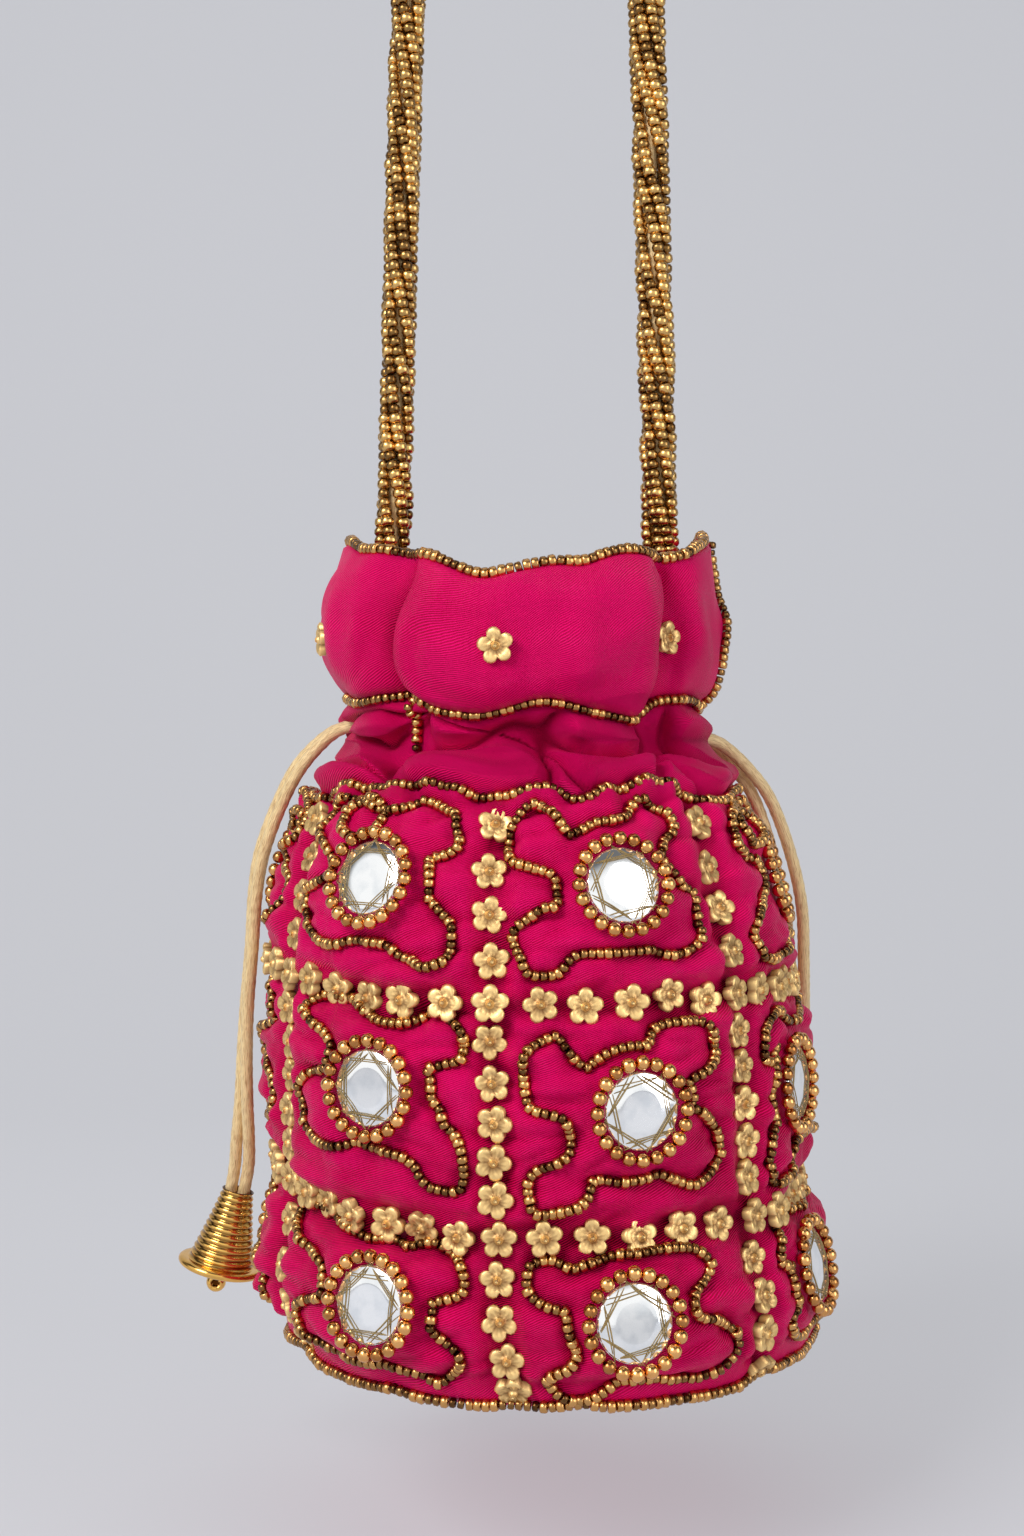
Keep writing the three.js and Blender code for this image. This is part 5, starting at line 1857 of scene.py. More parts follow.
@dataclass(frozen=True)
class Pouch:
    """The padded pouch, quilted by the lines of beads sewn through it."""

    columns: int = 420
    corner_rings: int = 15
    wall_rings: int = 140
    overlap: float = 0.8
    padding: float = 2.4
    inner_slack: float = 1.6
    floor_radii: tuple[float, ...] = (18.0, 36.0)
    inner_heights: tuple[float, ...] = (128.5, 112.0, 84.5, 37.0, 11.5)
    groove: float = 1.9
    groove_width: float = 4.6
    outline_groove: float = 1.15
    outline_width: float = 1.8
    lobe_puff: float = 1.3
    lobe_widths: tuple[float, float] = (4.0, 6.0)
    seat_depth: float = 2.4
    seat_width: float = 12.5
    calm_width: float = 10.5
    calm_hollow: float = 0.3
    corner_hollow: float = 3.0
    corner_height: float = 4.5
    corner_width: float = 4.0
    side_angle: float = -94.0
    side_width: float = 28.0
    side_hollow: Pairs = ((0, 2.6), (20, 3.0), (50, 2.6), (75, 1.8), (100, 0.0))
    tuck_depth: float = 3.4
    tuck_start: float = 0.6
    tuck_span: float = 1.8
    ease_height: float = 8.0
    gather_reach: float = 10.0
    pucker_reach: tuple[float, float] = (4.5, 5.5)
    puckers: tuple[Wrinkle, Wrinkle] = (Wrinkle(3.2, 0.34, 3), Wrinkle(6.0, 0.5, 9, (1, 1, 1.6)))
    swell: Wrinkle = Wrinkle(15.0, 0.6, 4, (1, 1, 0.7))
    ripple: Wrinkle = Wrinkle(12.0, 1.5, 14, (0.75, 0.75, 1.5))
    ripple_middle: float = 0.7
    gathers: Wrinkle = Wrinkle(5.5, 1.7, 8, (1, 1, 0.22))
    # Painted shade, which the satin draws darker: along the outlines, along the sewn rows, in ripple valleys
    # and towards the bottom.
    outline_shade: float = 0.28
    outline_shade_width: float = 1.6
    sewn_shade: float = 0.35
    sewn_shade_width: float = 3.0
    ripple_shade: float = 0.1
    lower_shade: float = 0.09
    lower_shade_top: float = 105.0
    lower_shade_span: float = 50.0

    def sewn_distance(self, angle: Array, height: Array) -> Array:
        """Distance along the cloth from the nearest row or column of flowers.

        Args:
            angle: Angles in degrees.
            height: Heights above the base.

        Returns:
            One distance for each point.
        """
        turns = np.min([np.abs(turn_between(seam, angle)) for seam in FORM.seams], axis=0)
        across = turns * np.pi / 180 * FORM.profile(height)
        level = height - FORM.rise(angle, height)
        along = np.minimum(np.abs(level - FORM.lower_row), np.abs(level - FORM.upper_row))
        return np.minimum(across, along)

    def quilting(self, bare: Array, sewn: Array, gap: Array, front_seats: Sequence[Array]) -> Array:
        """Grooves along the sewn lines, the lobes between them and the seats under the mirrors.

        Args:
            bare: Points of the bare form.
            sewn: Their distance from the rows and columns of flowers.
            gap: Their distance from the outlines.
            front_seats: Middles of the mirrors that press a seat into the cloth.

        Returns:
            How far the cloth stands out at each point.
        """
        relief = -self.groove * fade(sewn, self.groove_width, 4)
        relief -= self.outline_groove * fade(gap, self.outline_width)
        from_outline, from_row = self.lobe_widths
        relief += self.lobe_puff * (1 - fade(gap, from_outline)) * (1 - fade(sewn, from_row))
        return relief - self.seat_depth * fade(distance_to(front_seats, bare), self.seat_width, 4)

    def hollow(self, angle: Array, height: Array, calm: Array) -> Array:
        """How far the cloth sinks in at the left, round the base's corner and under the mirrors.

        Args:
            angle: Angles in degrees.
            height: Heights above the base.
            calm: How free the cloth is to wrinkle, from 0 to 1.

        Returns:
            One depth for each point.
        """
        side = fade(turn_between(self.side_angle, angle), self.side_width)
        side = side * np.interp(height, *np.array(self.side_hollow).T)
        corner = self.corner_hollow * fade(height - self.corner_height, self.corner_width)
        return side + corner + self.calm_hollow * (1 - calm)

    def inside(self) -> tuple[list[Array], list[Array]]:
        """Rings of the padding's inside, from the top down, and of the base's underside.

        Returns:
            The inner rings and the base's rings.
        """
        ring = np.linspace(0, 360, self.columns, endpoint=False)
        inner = [
            level_ring(ring, float(FORM.profile(h)) - self.padding - self.inner_slack, h)
            for h in self.inner_heights
        ]
        inner.append(level_ring(ring, FORM.base_radius, self.padding))
        return inner, [level_ring(ring, radius, 0.0) for radius in self.floor_radii]

    def build(self) -> bpy.types.Object:
        """Makes the pouch's cloth.

        Returns:
            The cloth, with painted shade in its folds, along its sewn lines and towards the bottom.
        """
        corner = np.linspace(0, FORM.base_corner, self.corner_rings)[:-1]
        wall = np.linspace(FORM.base_corner, FORM.pouch_height + self.overlap, self.wall_rings)
        ring = np.linspace(0, 360, self.columns, endpoint=False)
        angle, height = np.meshgrid(ring, np.concatenate([corner, wall]))
        bare = FORM.place(angle, FORM.skin(angle, height), height)
        gap = distance_to([FORM.on_skin(*cell.dense_outline(), 0.0) for cell in CELLS], bare)
        sewn = self.sewn_distance(angle, height)
        seats = {c: FORM.on_skin(np.array([c.mirror_angle]), np.array([c.mirror_height]), 0.0) for c in CELLS}
        calm = 1 - fade(distance_to(list(seats.values()), bare), self.calm_width, 4)
        pressed = [place for cell, place in seats.items() if cell.panel in (2, 5)]
        relief = self.quilting(bare, sewn, gap, pressed)
        near = np.exp(-gap / self.pucker_reach[0]) + 0.8 * np.exp(-sewn / self.pucker_reach[1])
        pucker = self.puckers[0].at(bare) + self.puckers[1].at(bare)
        ripple = np.abs(self.ripple.at(bare)) - self.ripple_middle
        top = np.maximum(FORM.pouch_height - height, 0)
        gathers = self.gathers.at(bare) * np.exp(-top / self.gather_reach)
        tuck = ramp_up(height - CLOTH_EDGES.top_line(angle) + self.tuck_start, self.tuck_span)
        ease = ramp_up(height, self.ease_height) * (1 - tuck)
        loose = (pucker * near + self.swell.at(bare) + ripple) * calm
        lift = (relief + loose + gathers - self.hollow(angle, height, calm)) * ease
        lift -= self.tuck_depth * tuck * tuck * (3 - 2 * tuck)
        outer = bare + FORM.normal(angle, height) * lift[..., None]
        inner, floor = self.inside()
        piece = ring_mesh("pouch_cloth", np.concatenate([floor, outer, inner]), poles=(True, True))
        # Painted shade: darker along the outlines and the sewn rows, in the ripples' valleys and towards the
        # bottom.
        shade = self.outline_shade * fade(gap, self.outline_shade_width)
        shade += self.sewn_shade * fade(sewn, self.sewn_shade_width)
        shade += self.ripple_shade * ramp_up(-ripple, self.ripple_middle)
        shade += self.lower_shade * ramp_up(self.lower_shade_top - height, self.lower_shade_span)
        set_painted_shade(piece, np.concatenate([np.zeros((len(floor), self.columns)), shade * ease]))
        return piece


@dataclass
class NeckGrid:
    """The bare neck and collar, ring by ring, and where each point lies between the sewn lines."""

    columns: int = 420
    rings: int = 130
    overlap: float = 0.3

    def __post_init__(self) -> None:
        """Works the points out."""
        self.ring = np.linspace(0, 360, self.columns, endpoint=False)
        self.start = CLOTH_EDGES.top_line(self.ring) + self.overlap
        self.rim = CLOTH_EDGES.rim_height(self.ring)
        self.seam = CLOTH_EDGES.seam_line(self.ring)[None]
        self.height = self.start + (self.rim - self.start)[None] * np.linspace(0, 1, self.rings)[:, None]
        self.angle = np.broadcast_to(self.ring, self.height.shape)
        self.bare = FORM.place(self.angle, FORM.skin(self.angle, self.height), self.height)
        self.above = np.clip((self.height - self.seam) / (self.rim - self.seam), 0, 1)
        self.in_neck = ramp_up(self.height - self.start, 2) * ramp_up(self.seam - 0.5 - self.height, 3)
        self.in_collar = np.sin(np.pi * np.clip(self.above * 0.97 + 0.015, 0, 1)) ** 0.55 * (self.above > 0)


@dataclass(frozen=True)
class Collar:
    """The gathered neck and the plump collar above it, folded over at the rim."""

    wall: float = 5.0
    inner_taper: float = 1.2
    front_puff: float = 2.6
    crease: float = 5.0
    fold_shifts: tuple[float, ...] = (-3.0, 3.0, -3.0, 3.0)
    fold_edge: float = 1.3
    plump: float = 1.7
    low_plump: float = 0.9
    pinch: float = 1.9
    pinch_width: float = 1.6
    dents: tuple[Wrinkle, Wrinkle] = (Wrinkle(20.0, 1.6, 27), Wrinkle(9.0, 0.35, 29, (1, 1, 0.6)))
    drag: float = 1.3
    drag_folds: Wrinkle = Wrinkle(22.0, 1.5, 25, lean=0.7)
    neck_folds: tuple[Wrinkle, Wrinkle] = (
        Wrinkle(22.0, 1.6, 21, (0.7, 0.7, 1.3), lean=0.6),
        Wrinkle(19.0, 2.2, 22, (0.7, 0.7, 1.5)),
    )
    neck_fold_height: float = 6.0
    neck_fold_base: float = 3.6
    roll: float = 2.2
    roll_height: float = 3.4
    roll_width: float = 2.0
    roll_waves: Wrinkle = Wrinkle(10.0, 0.5, 28, (1, 1, 0.1))
    sewn_depth: float = 3.6
    sewn_width: float = 1.1
    fine: Wrinkle = Wrinkle(6.0, 0.3, 24, (1, 1, 0.6))
    flower_dimple: float = 1.5
    flower_width: float = 4.5
    mm_per_degree: float = 0.83
    slim_sides: tuple[tuple[float, float, float], ...] = ((84.0, 42.0, 4.4), (-84.0, 36.0, 1.5))
    casing_radius: float = 37.2
    lip: Pairs = ((0.9, 0.8), (2.2, 1.0), (3.4, 0.3))
    inner_waves: Wrinkle = Wrinkle(11.0, 0.7, 31)
    inner_rings: int = 13
    inner_bottom: float = 151.0
    casing: Pairs = (
        (35.2, 148.2),
        (32.8, 147.6),
        (32.5, 146.0),
        (32.5, 136.0),
        (36.0, 131.0),
        (40.0, 128.0),
    )

    def between(self, first: Array, second: Array) -> Array:
        """How far each point lies between two folds, from 0 to 1."""
        return 1 / (1 + np.exp(-first / self.fold_edge)) / (1 + np.exp(second / self.fold_edge))

    def pleated(self, grid: NeckGrid) -> tuple[Array, Array]:
        """The front and the back stand proud of the sides, with a deep fold at each edge.

        Args:
            grid: The bare neck and collar.

        Returns:
            How far the cloth stands out, and how near to a fold each point lies.
        """
        wander = 2.2 * np.sin(grid.height / 8.0 + grid.angle / 40) + 1.3 * np.sin(grid.height / 3.6)
        wandering = grid.angle + wander
        folds = [
            turn_between(pleat - shift, wandering) for pleat, shift in zip(FORM.pleats, self.fold_shifts)
        ]
        proud = np.maximum(self.between(folds[0], folds[1]), self.between(folds[2], folds[3]))
        slot = sum(np.exp(-np.abs(fold) / 2.0) + 0.35 * fade(fold, 9.0) for fold in folds)
        crease = -self.crease * slot * (0.35 + 0.65 * grid.in_collar) * ramp_up(grid.height - grid.start, 5)
        return self.front_puff * proud * grid.in_collar + crease, slot

    def plumpness(self, grid: NeckGrid) -> Array:
        """How far the collar's padding stands out, with its dents and drag lines.

        Args:
            grid: The bare neck and collar.

        Returns:
            One height for each point.
        """
        low = fade(grid.above - 0.25, 0.16) * (grid.above > 0)
        plump = self.plump * grid.in_collar + self.low_plump * low
        pinch = -self.pinch * fade(grid.height - grid.seam, self.pinch_width)
        dents = (self.dents[0].at(grid.bare) + self.dents[1].at(grid.bare)) * grid.in_collar
        drag = np.minimum(np.abs(self.drag_folds.at(grid.bare)), 1.0) * self.drag * grid.in_collar
        return plump + pinch + dents + drag * (1.1 - grid.above)

    def edges(self, grid: NeckGrid) -> Array:
        """The roll above the pouch's bead line, the dimples of the flowers and the slimmer sides.

        Args:
            grid: The bare neck and collar.

        Returns:
            One height for each point.
        """
        rise = grid.height - grid.start
        bulge = fade(rise - self.roll_height, self.roll_width) * (0.6 + self.roll_waves.at(grid.bare))
        roll = self.roll * bulge - self.sewn_depth * fade(rise, self.sewn_width)
        squares = [
            (turn_between(at, grid.angle) * self.mm_per_degree / self.flower_width) ** 2
            + ((grid.height - up) / self.flower_width) ** 2
            for at, up in COLLAR_FLOWERS
        ]
        dimple = -self.flower_dimple * np.exp(-np.min(squares, axis=0))
        side = sum(fade(turn_between(at, grid.angle), width) * depth for at, width, depth in self.slim_sides)
        slim = -side * ramp_up(grid.height - grid.seam + 4, 6) * ramp_up(grid.rim - grid.height, 14) ** 0.7
        return roll + dimple + slim

    def inside(self, grid: NeckGrid) -> list[Array]:
        """Rings over the rim, down the collar's inside and round the casing.

        Args:
            grid: The bare neck and collar.

        Returns:
            The rings, from the rim down.
        """
        skin = FORM.skin(grid.ring, grid.rim)
        rings = [FORM.place(grid.ring, skin - depth, grid.rim + rise) for depth, rise in self.lip]
        for share_down in np.linspace(0, 1, self.inner_rings + 1)[1:]:
            down = grid.rim + (self.inner_bottom - grid.rim) * share_down
            radius = FORM.profile(down) - self.wall - self.inner_taper * share_down
            radius = radius + self.inner_waves.at(FORM.place(grid.ring, radius, down * 0.4))
            rings.append(FORM.place(grid.ring, radius, down))
        return rings + [level_ring(grid.ring, radius, height) for radius, height in self.casing]

    def build(self) -> bpy.types.Object:
        """Makes the cloth of the neck and the collar.

        Returns:
            The cloth, with painted shade in its folds, along the seam and in the neck.
        """
        grid = NeckGrid()
        pleated, slot = self.pleated(grid)
        valleys = np.minimum(*(np.abs(fold.at(grid.bare)) for fold in self.neck_folds))
        crumple = self.neck_fold_height * np.minimum(valleys, 0.9) ** 0.7 - self.neck_fold_base
        lift = pleated + self.plumpness(grid) + crumple * grid.in_neck
        lift = lift + self.fine.at(grid.bare) * (grid.above + grid.in_neck) + self.edges(grid)
        lift = np.maximum(lift, self.casing_radius - FORM.skin(grid.angle, grid.height))
        outer = grid.bare + FORM.normal(grid.angle, grid.height) * lift[..., None]
        piece = ring_mesh("collar_cloth", np.concatenate([outer, self.inside(grid)]), closed_path=True)
        # Painted shade: darker in the neck's folds, in the pleats' slots, along the seam and a little over
        # the whole neck.
        hollow = 0.45 * fade(valleys, 0.12) * grid.in_neck + 0.45 * np.clip(slot, 0, 1) * grid.in_collar
        set_painted_shade(piece, hollow + 0.4 * fade(grid.height - grid.seam, 1.4) + 0.06 * grid.in_neck)
        return piece


@dataclass(frozen=True)
class Lining:
    """The lining cup, a little slack in the pouch."""

    columns: int = 160
    knots: Pairs = (
        (51.0, 4.3),
        (60.9, 11.5),
        (60.4, 37.0),
        (57.0, 84.5),
        (51.3, 112.0),
        (37.4, 128.5),
        (31.8, 138.4),
        (31.8, 147.0),
    )
    slack: Wrinkle = Wrinkle(14.0, 0.8, 41)
    slack_top: float = 140.0
    shrink: float = 0.014
    floor_gap: float = 0.4

    def build(self) -> bpy.types.Object:
        """Makes the lining.

        Returns:
            The closed cup with its thin wall.
        """
        ring = np.linspace(0, 360, self.columns, endpoint=False)
        outer = []
        for radius, height, _ in smooth_line([(r, h, 0) for r, h in self.knots], 60):
            slack = self.slack.at(level_ring(ring, radius, height * 0.4)) - self.slack.depth
            slack = slack * min(height / 20, 1) * (height < self.slack_top)
            outer.append(FORM.place(ring, radius + slack, np.full(self.columns, height)))
        middle = FORM.place(0, 0.0, 0.0)
        inner = [
            points + (middle - points) * (1, 1, 0) * self.shrink + (0, 0, self.floor_gap)
            for points in outer[::-1]
        ]
        return ring_mesh("lining_cloth", np.array(outer + inner), poles=(True, True))


@dataclass
class PaddedCloth:
    """The bag's cloth: pouch, collar and lining, with the board in the base."""

    pouch: Pouch = Pouch()
    collar: Collar = Collar()
    lining: Lining = Lining()

    def build(self) -> Drape:
        """Makes and dresses the cloth pieces.

        Returns:
            The cloth that the beads are laid on.
        """
        pouch = dress(self.pouch.build(), Finish.SATIN, "pouch_shell")
        collar = dress(self.collar.build(), Finish.SATIN, "collar_frill")
        dress(self.lining.build(), Finish.LINING, "lining")
        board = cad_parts["base_board"]
        board.data.materials.clear()
        board.data.materials.append(Finish.BOARD.material())
        graph = bpy.context.evaluated_depsgraph_get()
        return Drape(tuple(BVHTree.FromObject(piece, graph) for piece in (pouch, collar)))


# Drawcords and bells


@dataclass(frozen=True)
class Strand:
    """A free strand of a drawcord, along the route of its solid."""

    name: str
    bell: str
    points: tuple[Point, ...]


STRANDS = (
    Strand(
        "left_outer_strand",
        "left_bell",
        (
            (-36.5, 6.2, 143.2), (-41.2, 3.6, 143.2), (-47.4, 2.6, 141.2), (-54.9, 4, 134.2),
            (-59.9, 5.4, 125.3), (-64.5, 6.6, 113.4), (-66.3, 7.6, 103.2), (-67.2, 8.6, 90),
            (-68.5, 9.6, 76.6), (-69.4, 10.2, 64.3), (-70.1, 10.8, 52), (-71.1, 11.4, 42),
            (-71.8, 12.4, 34.5), (-73.8, 13, 24.1),
        ),
    ),
    Strand(
        "left_inner_strand",
        "left_bell",
        (
            (-36.5, -6.2, 143.2), (-41, -3.4, 143.2), (-46.8, -0.6, 140.8), (-53.8, 0.7, 133.4),
            (-58.8, 2, 124.4), (-63.2, 3.1, 112.8), (-65.2, 4.2, 102.6), (-66.3, 5.2, 89.6),
            (-67.5, 6.2, 76.2), (-68, 7, 64), (-68, 8, 52), (-67.9, 10, 42.4), (-68.4, 12.2, 34.6),
            (-70.8, 13, 23.3),
        ),
    ),
    Strand(
        "right_outer_strand",
        "right_bell",
        (
            (36.8, -6.2, 139.7), (41, -3, 140.2), (46.6, 0.4, 138.6), (53.4, 2.6, 132.6), (59.2, 6, 125),
            (64.5, 10, 112), (67.6, 12.4, 99), (68.9, 17.4, 85.5), (69.9, 23.2, 71.5), (70.4, 29, 60),
            (69.6, 37, 49), (67.8, 44.6, 42), (66.15, 51.3, 36.4), (66.15, 51.5, 28.2),
        ),
    ),
    Strand(
        "right_inner_strand",
        "right_bell",
        (
            (36.8, 6.2, 139.7), (41.6, 4.6, 139.9), (48, 5, 135.2), (54.1, 6.8, 127.7), (58.1, 8.6, 118.2),
            (60.8, 10.8, 109), (64, 15.4, 97), (66, 20.8, 85), (67.2, 26.6, 73), (67.5, 32.4, 61.5),
            (66.4, 39.6, 50.6), (64.4, 46.4, 42.6), (63.05, 51.3, 36.6), (63.05, 51.5, 28.2),
        ),
    ),
)


@dataclass
class Drawcords:
    """Two cords, each with a hidden turn in the casing and two free strands."""

    diameter: float = 3.0
    ply_pitch: float = 9.0
    ply_relief: float = 0.08
    fibre_relief: float = 0.025
    sides: int = 30
    turn_radius: float = 33.85
    turn_opening: float = 14.0
    heights: tuple[float, float] = (143.2, 139.7)

    def _tube(self, name: str, path: Array) -> bpy.types.Object:
        """A three-ply cord.

        Args:
            name: Name of the piece.
            path: Points along its middle.

        Returns:
            The cord, with a UV map along it.
        """

        def radius(along: Array, turn: Array) -> Array:
            """Radius of the plies and of the fibres on them.

            Args:
                along: Distances along the cord.
                turn: Turns round it.

            Returns:
                One radius for each pair.
            """
            twist = along * 2 * np.pi / self.ply_pitch
            ply = np.abs(np.cos(1.5 * (turn - twist)))
            fibre = np.cos(11 * (turn - twist * 0.8) + 2 * np.sin(along * 0.7))
            return self.diameter / 2 * (0.93 + self.ply_relief * ply + self.fibre_relief * fibre)

        rings = tube_rings(path, radius, self.sides)
        return ring_mesh(name, rings[:, ::-1], poles=(True, True))

    def build(self) -> None:
        for strand in STRANDS:
            path = smooth_line(strand.points, 190)
            piece = dress(self._tube(strand.name + "_cord", path), Finish.CORD, strand.name)
        for side, height in zip((-1, 1), self.heights):
            angles = np.linspace(side * 90 + self.turn_opening, side * 90 + 360 - self.turn_opening, 150)
            path = level_ring(angles, self.turn_radius, height)
            name = "left_drawcord_turn" if side < 0 else "right_drawcord_turn"
            dress(self._tube(name + "_cord", path), Finish.CORD, name)


@dataclass
class Bells:
    """A ribbed cone at the end of each pair of strands, with a bead on a wire under it."""

    height: float = 19.8
    mouth_radius: float = 10.4
    waist_radius: float = 8.2
    top_radius: float = 3.95
    throat_radius: float = 3.35
    wall: float = 0.7
    lip: float = 1.9
    ribs: int = 12
    rib_depth: float = 0.55
    bead_diameter: float = 4.8
    bead_drop: float = 3.4
    wire_diameter: float = 1.2
    hole_radius: float = 1.0
    hole_depth: float = 1.3
    lip_round: float = 0.95
    knot_heights: tuple[float, float, float] = (11.4, 12.6, 13.4)
    places: tuple[tuple[str, Point, float], ...] = (
        ("left", (-75.6, 13.0, 9.9), 13.5),
        ("right", (64.6, 51.5, 14.0), 0.0),
    )

    def _radius(self, height: float) -> float:
        """Radius of the cone at a height above its mouth."""
        share = max((height - self.lip) / (self.height - self.lip), 0)
        return self.top_radius + (self.waist_radius - self.top_radius) * (1 - share) ** 1.15

    def _section(self) -> list[tuple[float, float]]:
        """The cone's wall, from the lip up the outside and down the inside.

        Returns:
            Radius and height pairs.
        """
        bend, lip = self.lip_round, self.lip
        middle = self.mouth_radius - bend
        rolled = [(middle + bend * math.cos(t), bend + bend * math.sin(t)) for t in np.linspace(-2.2, 1.5, 9)]
        ribs = []
        for i in range(self.ribs * 4 + 1):
            h = lip + (self.height - lip) * i / (self.ribs * 4)
            groove = self.rib_depth * (0.5 - 0.5 * math.cos(math.pi * i / 2)) ** 1.5
            ribs.append((self._radius(h) - groove, h))
        waist = (self.waist_radius + 0.3, lip + 0.05)
        top = [(self.throat_radius + 0.35, self.height + 0.15), (self.throat_radius, self.height - 0.2)]
        inside = [(self._radius(h) - self.rib_depth - self.wall, h) for h in (17.0, 12.0, 8.0, 4.0, lip)]
        return [*rolled, waist, *ribs, *top, *inside, (self.waist_radius - self.wall, 0.1)]

    def build(self) -> None:
        """Makes both bells and their pins."""
        for side, mouth, tilt in self.places:
            for name, section, sides, node in (
                ("cone", self._section(), 64, f"{side}_bell"),
                ("pin", self._pin_section(), 32, f"{side}_bell_pin"),
            ):
                points, faces = turned(section, sides)
                # The relief values are painted shade and highlight, which the metal multiplies into its
                # colour.
                relief = self._painted_shade_and_highlight(points) if name == "cone" else self._sink_hole_with_painted_shade(points)
                cos, sin = math.cos(math.radians(tilt)), math.sin(math.radians(tilt))
                x, y, z = points.T
                placed = np.stack([x * cos + z * sin, y, z * cos - x * sin], -1) + mouth
                mesh = bpy.data.meshes.new(f"{side}_bell_{name}")
                mesh.from_pydata(to_frame(placed).tolist(), [], [face[::-1] for face in faces])
                shade_smooth(mesh)
                values = mesh.attributes.new("relief", "FLOAT", "POINT")
                values.data.foreach_set("value", relief.astype(np.float32))
                dress(new_object(mesh.name, mesh), Finish.BELL, node)

    def _painted_shade_and_highlight(self, points: Array) -> Array:
        """Painted shade and highlight for each point of the cone: dark in the grooves and inside, bright on
        the ribs.

        Args:
            points: Points of the upright cone.

        Returns:
            One value for each point.
        """
        radius, height = np.hypot(points[:, 0], points[:, 1]), points[:, 2]
        crest = np.array([self._radius(h) for h in height])
        open_part = np.clip((radius - crest + self.rib_depth) / self.rib_depth, 0, 1)
        on_lip = np.where(radius > self.waist_radius, 1.0, 0.3)
        return np.where(height < self.lip, on_lip, 0.22 + 0.85 * open_part)

    def _sink_hole_with_painted_shade(self, points: Array) -> Array:
        """Sinks the bead's hole at the front of the pin and paints shade into it.

        Args:
            points: Points of the upright pin, which are moved.

        Returns:
            Painted shade: dark in the hole, none elsewhere.
        """
        off = points - (0, 0, -self.bead_drop)
        across = np.hypot(off[:, 0], off[:, 2])
        in_hole = (across < self.hole_radius) & (off[:, 1] < -self.bead_diameter * 0.25)
        points[in_hole, 1] += self.hole_depth
        return np.where(in_hole, 0.03, 1.0)

    def _pin_section(self) -> list[tuple[float, float]]:
        """The pin: a knot head inside the cone, a wire and a round bead with its hole below.

        Returns:
            Radius and height pairs.
        """
        bead, wire = self.bead_diameter / 2, self.wire_diameter / 2
        ball = [
            (bead * math.sin(t), -self.bead_drop - bead * math.cos(t))
            for t in np.linspace(0.3, math.pi - 0.26, 14)
        ]
        neck, low, high = self.knot_heights
        knot = self._radius(high) - self.rib_depth - self.wall - 0.3
        shank = [(wire, -self.bead_drop + bead + 0.2), (wire, neck)]
        return [*ball, *shank, (knot, low), (knot, high), (0.25, high), (0.25, -5.4)]


# Handle


@dataclass
class Handle:
    """A rope of bead strands twisted round each other."""

    diameter: float = 9.0
    strands: int = 6
    bead_diameter: float = 3.15
    bead_length: float = 2.25
    bead_pitch: float = 2.3
    bead_hole: float = 0.35
    core_radius: float = 1.45
    twist: float = 92.0
    foot: tuple[float, float] = (35.1, 151.0)
    spread: float = 32.0
    top_spread: float = 28.4
    arch: float = 45.0
    tree: GeometryTree | None = None

    def path(self) -> Array:
        """Middle of the rope, from one foot over the arch to the other.

        Returns:
            Points in millimetres.
        """
        start = APEX_HEIGHT - self.arch
        leg = [
            self.foot,
            ((self.foot[0] + self.spread) / 2, (self.foot[1] + FORM.rim_height) / 2),
            (self.spread, FORM.rim_height),
            ((self.spread + self.top_spread) / 2, (FORM.rim_height + start) / 2),
            (self.top_spread, start),
        ]
        turns = np.radians(np.linspace(0, 90, 5)[1:])
        leg += [(self.top_spread * math.cos(t), start + self.arch * math.sin(t)) for t in turns]
        half = [(x, 0.0, z) for x, z in leg]
        return smooth_line([*half, *[(-x, y, z) for x, y, z in half[-2::-1]]], 700)

    def bead(self) -> bpy.types.Object:
        """A rounded bead with its hole along +Z.

        Returns:
            The bead.
        """
        r, half = self.bead_diameter / 2, self.bead_length / 2
        upper = [(r * 0.97, half * 0.4), (r * 0.72, half * 0.92), (self.bead_hole, half)]
        return template("handle_bead_shape", *turned(upper[::-1] + [(x, -z) for x, z in upper], 8))

    def build(self) -> None:
        path = self.path()
        tangent = unit(np.gradient(path, axis=0))
        front = np.broadcast_to((0.0, -1.0, 0.0), path.shape)
        side = np.cross(tangent, front)
        along = np.concatenate([[0], np.cumsum(np.linalg.norm(np.diff(path, axis=0), axis=1))])
        rng = np.random.default_rng(17)
        strands = []
        for k in range(self.strands):
            wander = rng.uniform(0, 2 * np.pi, 3)
            turn = 2 * np.pi * (k / self.strands - along / self.twist) + 0.25 * np.sin(along / 9 + wander[0])
            reach = (self.diameter - self.bead_diameter) / 2 * (1 + 0.08 * np.sin(along / 6.5 + wander[1]))
            reach = reach + 0.1 * np.sin(along / 2.1 + wander[2])
            off = front * (reach * np.cos(turn))[:, None] + side * (reach * np.sin(turn))[:, None]
            strands.append(path + off)
        values = {
            "Shape": self.bead(),
            "Pitch": self.bead_pitch * MM,
            "Tilt": 0.2,
            "Size spread": 0.1,
            "Seed": 23,
            "Material": Finish.HANDLE_SEED.material(),
        }
        beads = self.tree.apply("handle_beads", line_mesh("handle_lines", strands), values)
        dress(beads, Finish.HANDLE_SEED, "handle_rope")
        rings = tube_rings(path[::3], lambda a, t: np.full(np.broadcast(a, t).shape, self.core_radius), 8)
        core = ring_mesh("handle_core", rings[:, ::-1], poles=(True, True))
        dress(core, Finish.CORD)


# Studio


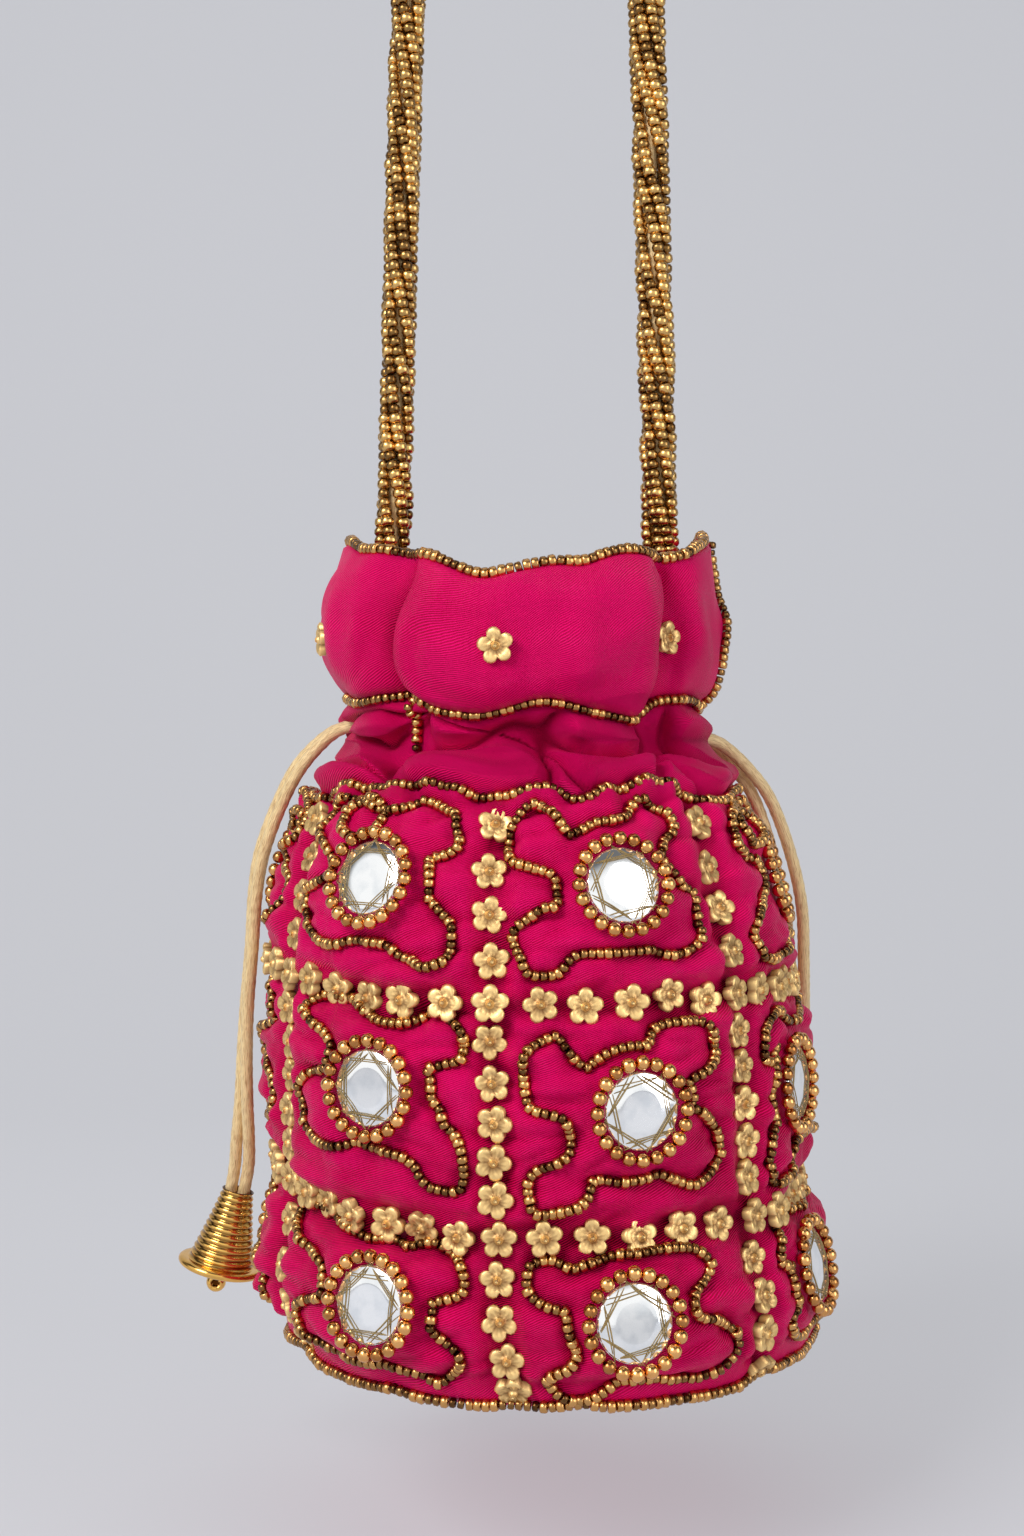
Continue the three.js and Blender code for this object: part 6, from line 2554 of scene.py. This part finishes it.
@dataclass(frozen=True)
class Lamp:
    """A soft rectangular lamp, in metres and watts."""

    name: str
    place: Point
    size: tuple[float, float]
    power: float

    def build(self, aim: Point) -> None:
        """Puts the lamp up.

        Args:
            aim: The point that it faces.
        """
        data = bpy.data.lights.new(self.name, "AREA")
        data.shape = "RECTANGLE"
        data.size, data.size_y = self.size
        data.energy = self.power
        lamp = bpy.data.objects.new(self.name, data)
        lamp.location = self.place
        lamp.rotation_euler = (Vector(aim) - Vector(self.place)).to_track_quat("-Z", "Y").to_euler()
        bpy.context.scene.collection.objects.link(lamp)


@dataclass
class Studio:
    """Camera, soft light and a pale floor."""

    eye: Point = (-0.0036, -0.430, -0.230)
    lens: float = 42.19
    floor_height: float = -0.408
    floor_depth: float = 0.5
    floor_front: float = -1.6
    bend_radius: float = 0.5
    wall_height: float = 2.4
    half_width: float = 2.2
    backdrop: Colour = linear(197, 198, 203)
    paper_share: float = 0.59
    cloud_share: float = 0.985
    glow: float = 0.6
    aim: Point = (0.0, 0.0, -0.27)
    lamps: tuple[Lamp, ...] = (
        Lamp("key", (-0.7, -0.8, 0.45), (0.6, 0.6), 10.5),
        Lamp("fill", (0.95, -0.7, 0.0), (0.5, 0.9), 3.9),
        Lamp("top", (0.0, 0.1, 0.85), (1.2, 0.9), 2.2),
    )
    even_light: float = 0.28

    def camera(self) -> None:
        """Puts the camera where the photograph was taken from."""
        data = bpy.data.cameras.new("camera")
        data.lens, data.sensor_width, data.clip_start = self.lens, 36.0, 0.01
        camera = bpy.data.objects.new("camera", data)
        camera.location = self.eye
        camera.rotation_euler = (math.pi / 2, 0, 0)
        bpy.context.scene.collection.objects.link(camera)
        bpy.context.scene.camera = camera

    def sweep(self) -> None:
        """A floor that curves up into a backdrop."""
        bend, back = self.bend_radius, self.floor_depth
        turns = np.linspace(0, math.pi / 2, 13)
        profile = [(self.floor_front, 0.0)]
        profile += [(back + bend * math.sin(t), bend - bend * math.cos(t)) for t in turns]
        profile.append((back + bend, self.wall_height))
        edges = (-self.half_width, self.half_width)
        points = [(x, y, self.floor_height + z) for y, z in profile for x in edges]
        faces = [[2 * i, 2 * i + 1, 2 * i + 3, 2 * i + 2] for i in range(len(profile) - 1)]
        mesh = bpy.data.meshes.new("sweep")
        mesh.from_pydata(points, [], faces)
        shade_smooth(mesh)
        paper = tuple(c * self.paper_share for c in self.backdrop)
        shade = tuple(c * self.cloud_share for c in paper)
        values = {"Roughness": 0.9, "Specular IOR Level": 0.1, "Emission Color": (*self.backdrop, 1)}
        surface = Surface("sweep_paper", {**values, "Emission Strength": self.glow})
        cloud = surface.noise(surface.place(), 1.5, 2.0)
        surface.feed("Base Color", surface.ramp(cloud, ((0.3, shade), (0.7, paper))))
        mesh.materials.append(surface.material)
        new_object("sweep", mesh)

    def world(self) -> None:
        """An even pale surround, brighter in front and darker at the sides where metal mirrors it."""
        world = bpy.data.worlds.new("surround")
        world.use_nodes = True
        bpy.context.scene.world = world
        graph = Graph(world.node_tree)
        shader = world.node_tree.nodes["Background"]
        seen = graph.add("ShaderNodeTexCoord").outputs["Generated"]
        way = graph.add("ShaderNodeSeparateXYZ", {0: seen}).outputs
        front = graph.between(way["Y"], (0.03, 0.08), (-0.2, 0.92))
        above = graph.between(way["Z"], (-0.3, 0.07), (-0.12, 1.0))
        below = graph.between(way["Z"], (0.5, 1.0), (0.75, 0.12))
        glossy = graph.maths("MULTIPLY", front, graph.maths("MULTIPLY", above, below))
        rays = graph.add("ShaderNodeLightPath").outputs
        levels = {"Factor": rays["Is Glossy Ray"], 2: self.even_light, 3: glossy}
        graph.tree.links.new(graph.add("ShaderNodeMix", levels).outputs[0], shader.inputs["Strength"])
        shader.inputs["Color"].default_value = (1.0, 1.0, 1.0, 1)

    def build(self) -> None:
        """Sets the whole studio up."""
        self.camera()
        self.sweep()
        for lamp in self.lamps:
            lamp.build(self.aim)
        self.world()
        bpy.context.scene.view_settings.view_transform = "Standard"


# The whole bag


def main() -> None:
    """Builds the bag piece by piece."""
    logging.basicConfig(level=logging.INFO, format="%(name)s: %(message)s")
    Studio().build()
    strung = strung_tree()
    drape = PaddedCloth().build()
    beadwork = Beadwork(
        trees={"strung": strung, "studded": studded_tree(), "thread": thread_tree()}, drape=drape
    )
    Bells().build()
    Drawcords().build()
    Handle(tree=strung).build()
    beadwork.build_flowers()
    beadwork.build_mirrors()
    beadwork.build_seeds()
    for name in ("flower_shape", "ball_shape", "handle_bead_shape"):
        bpy.data.objects.remove(bpy.data.objects[name])


if __name__ == "__main__":
    main()
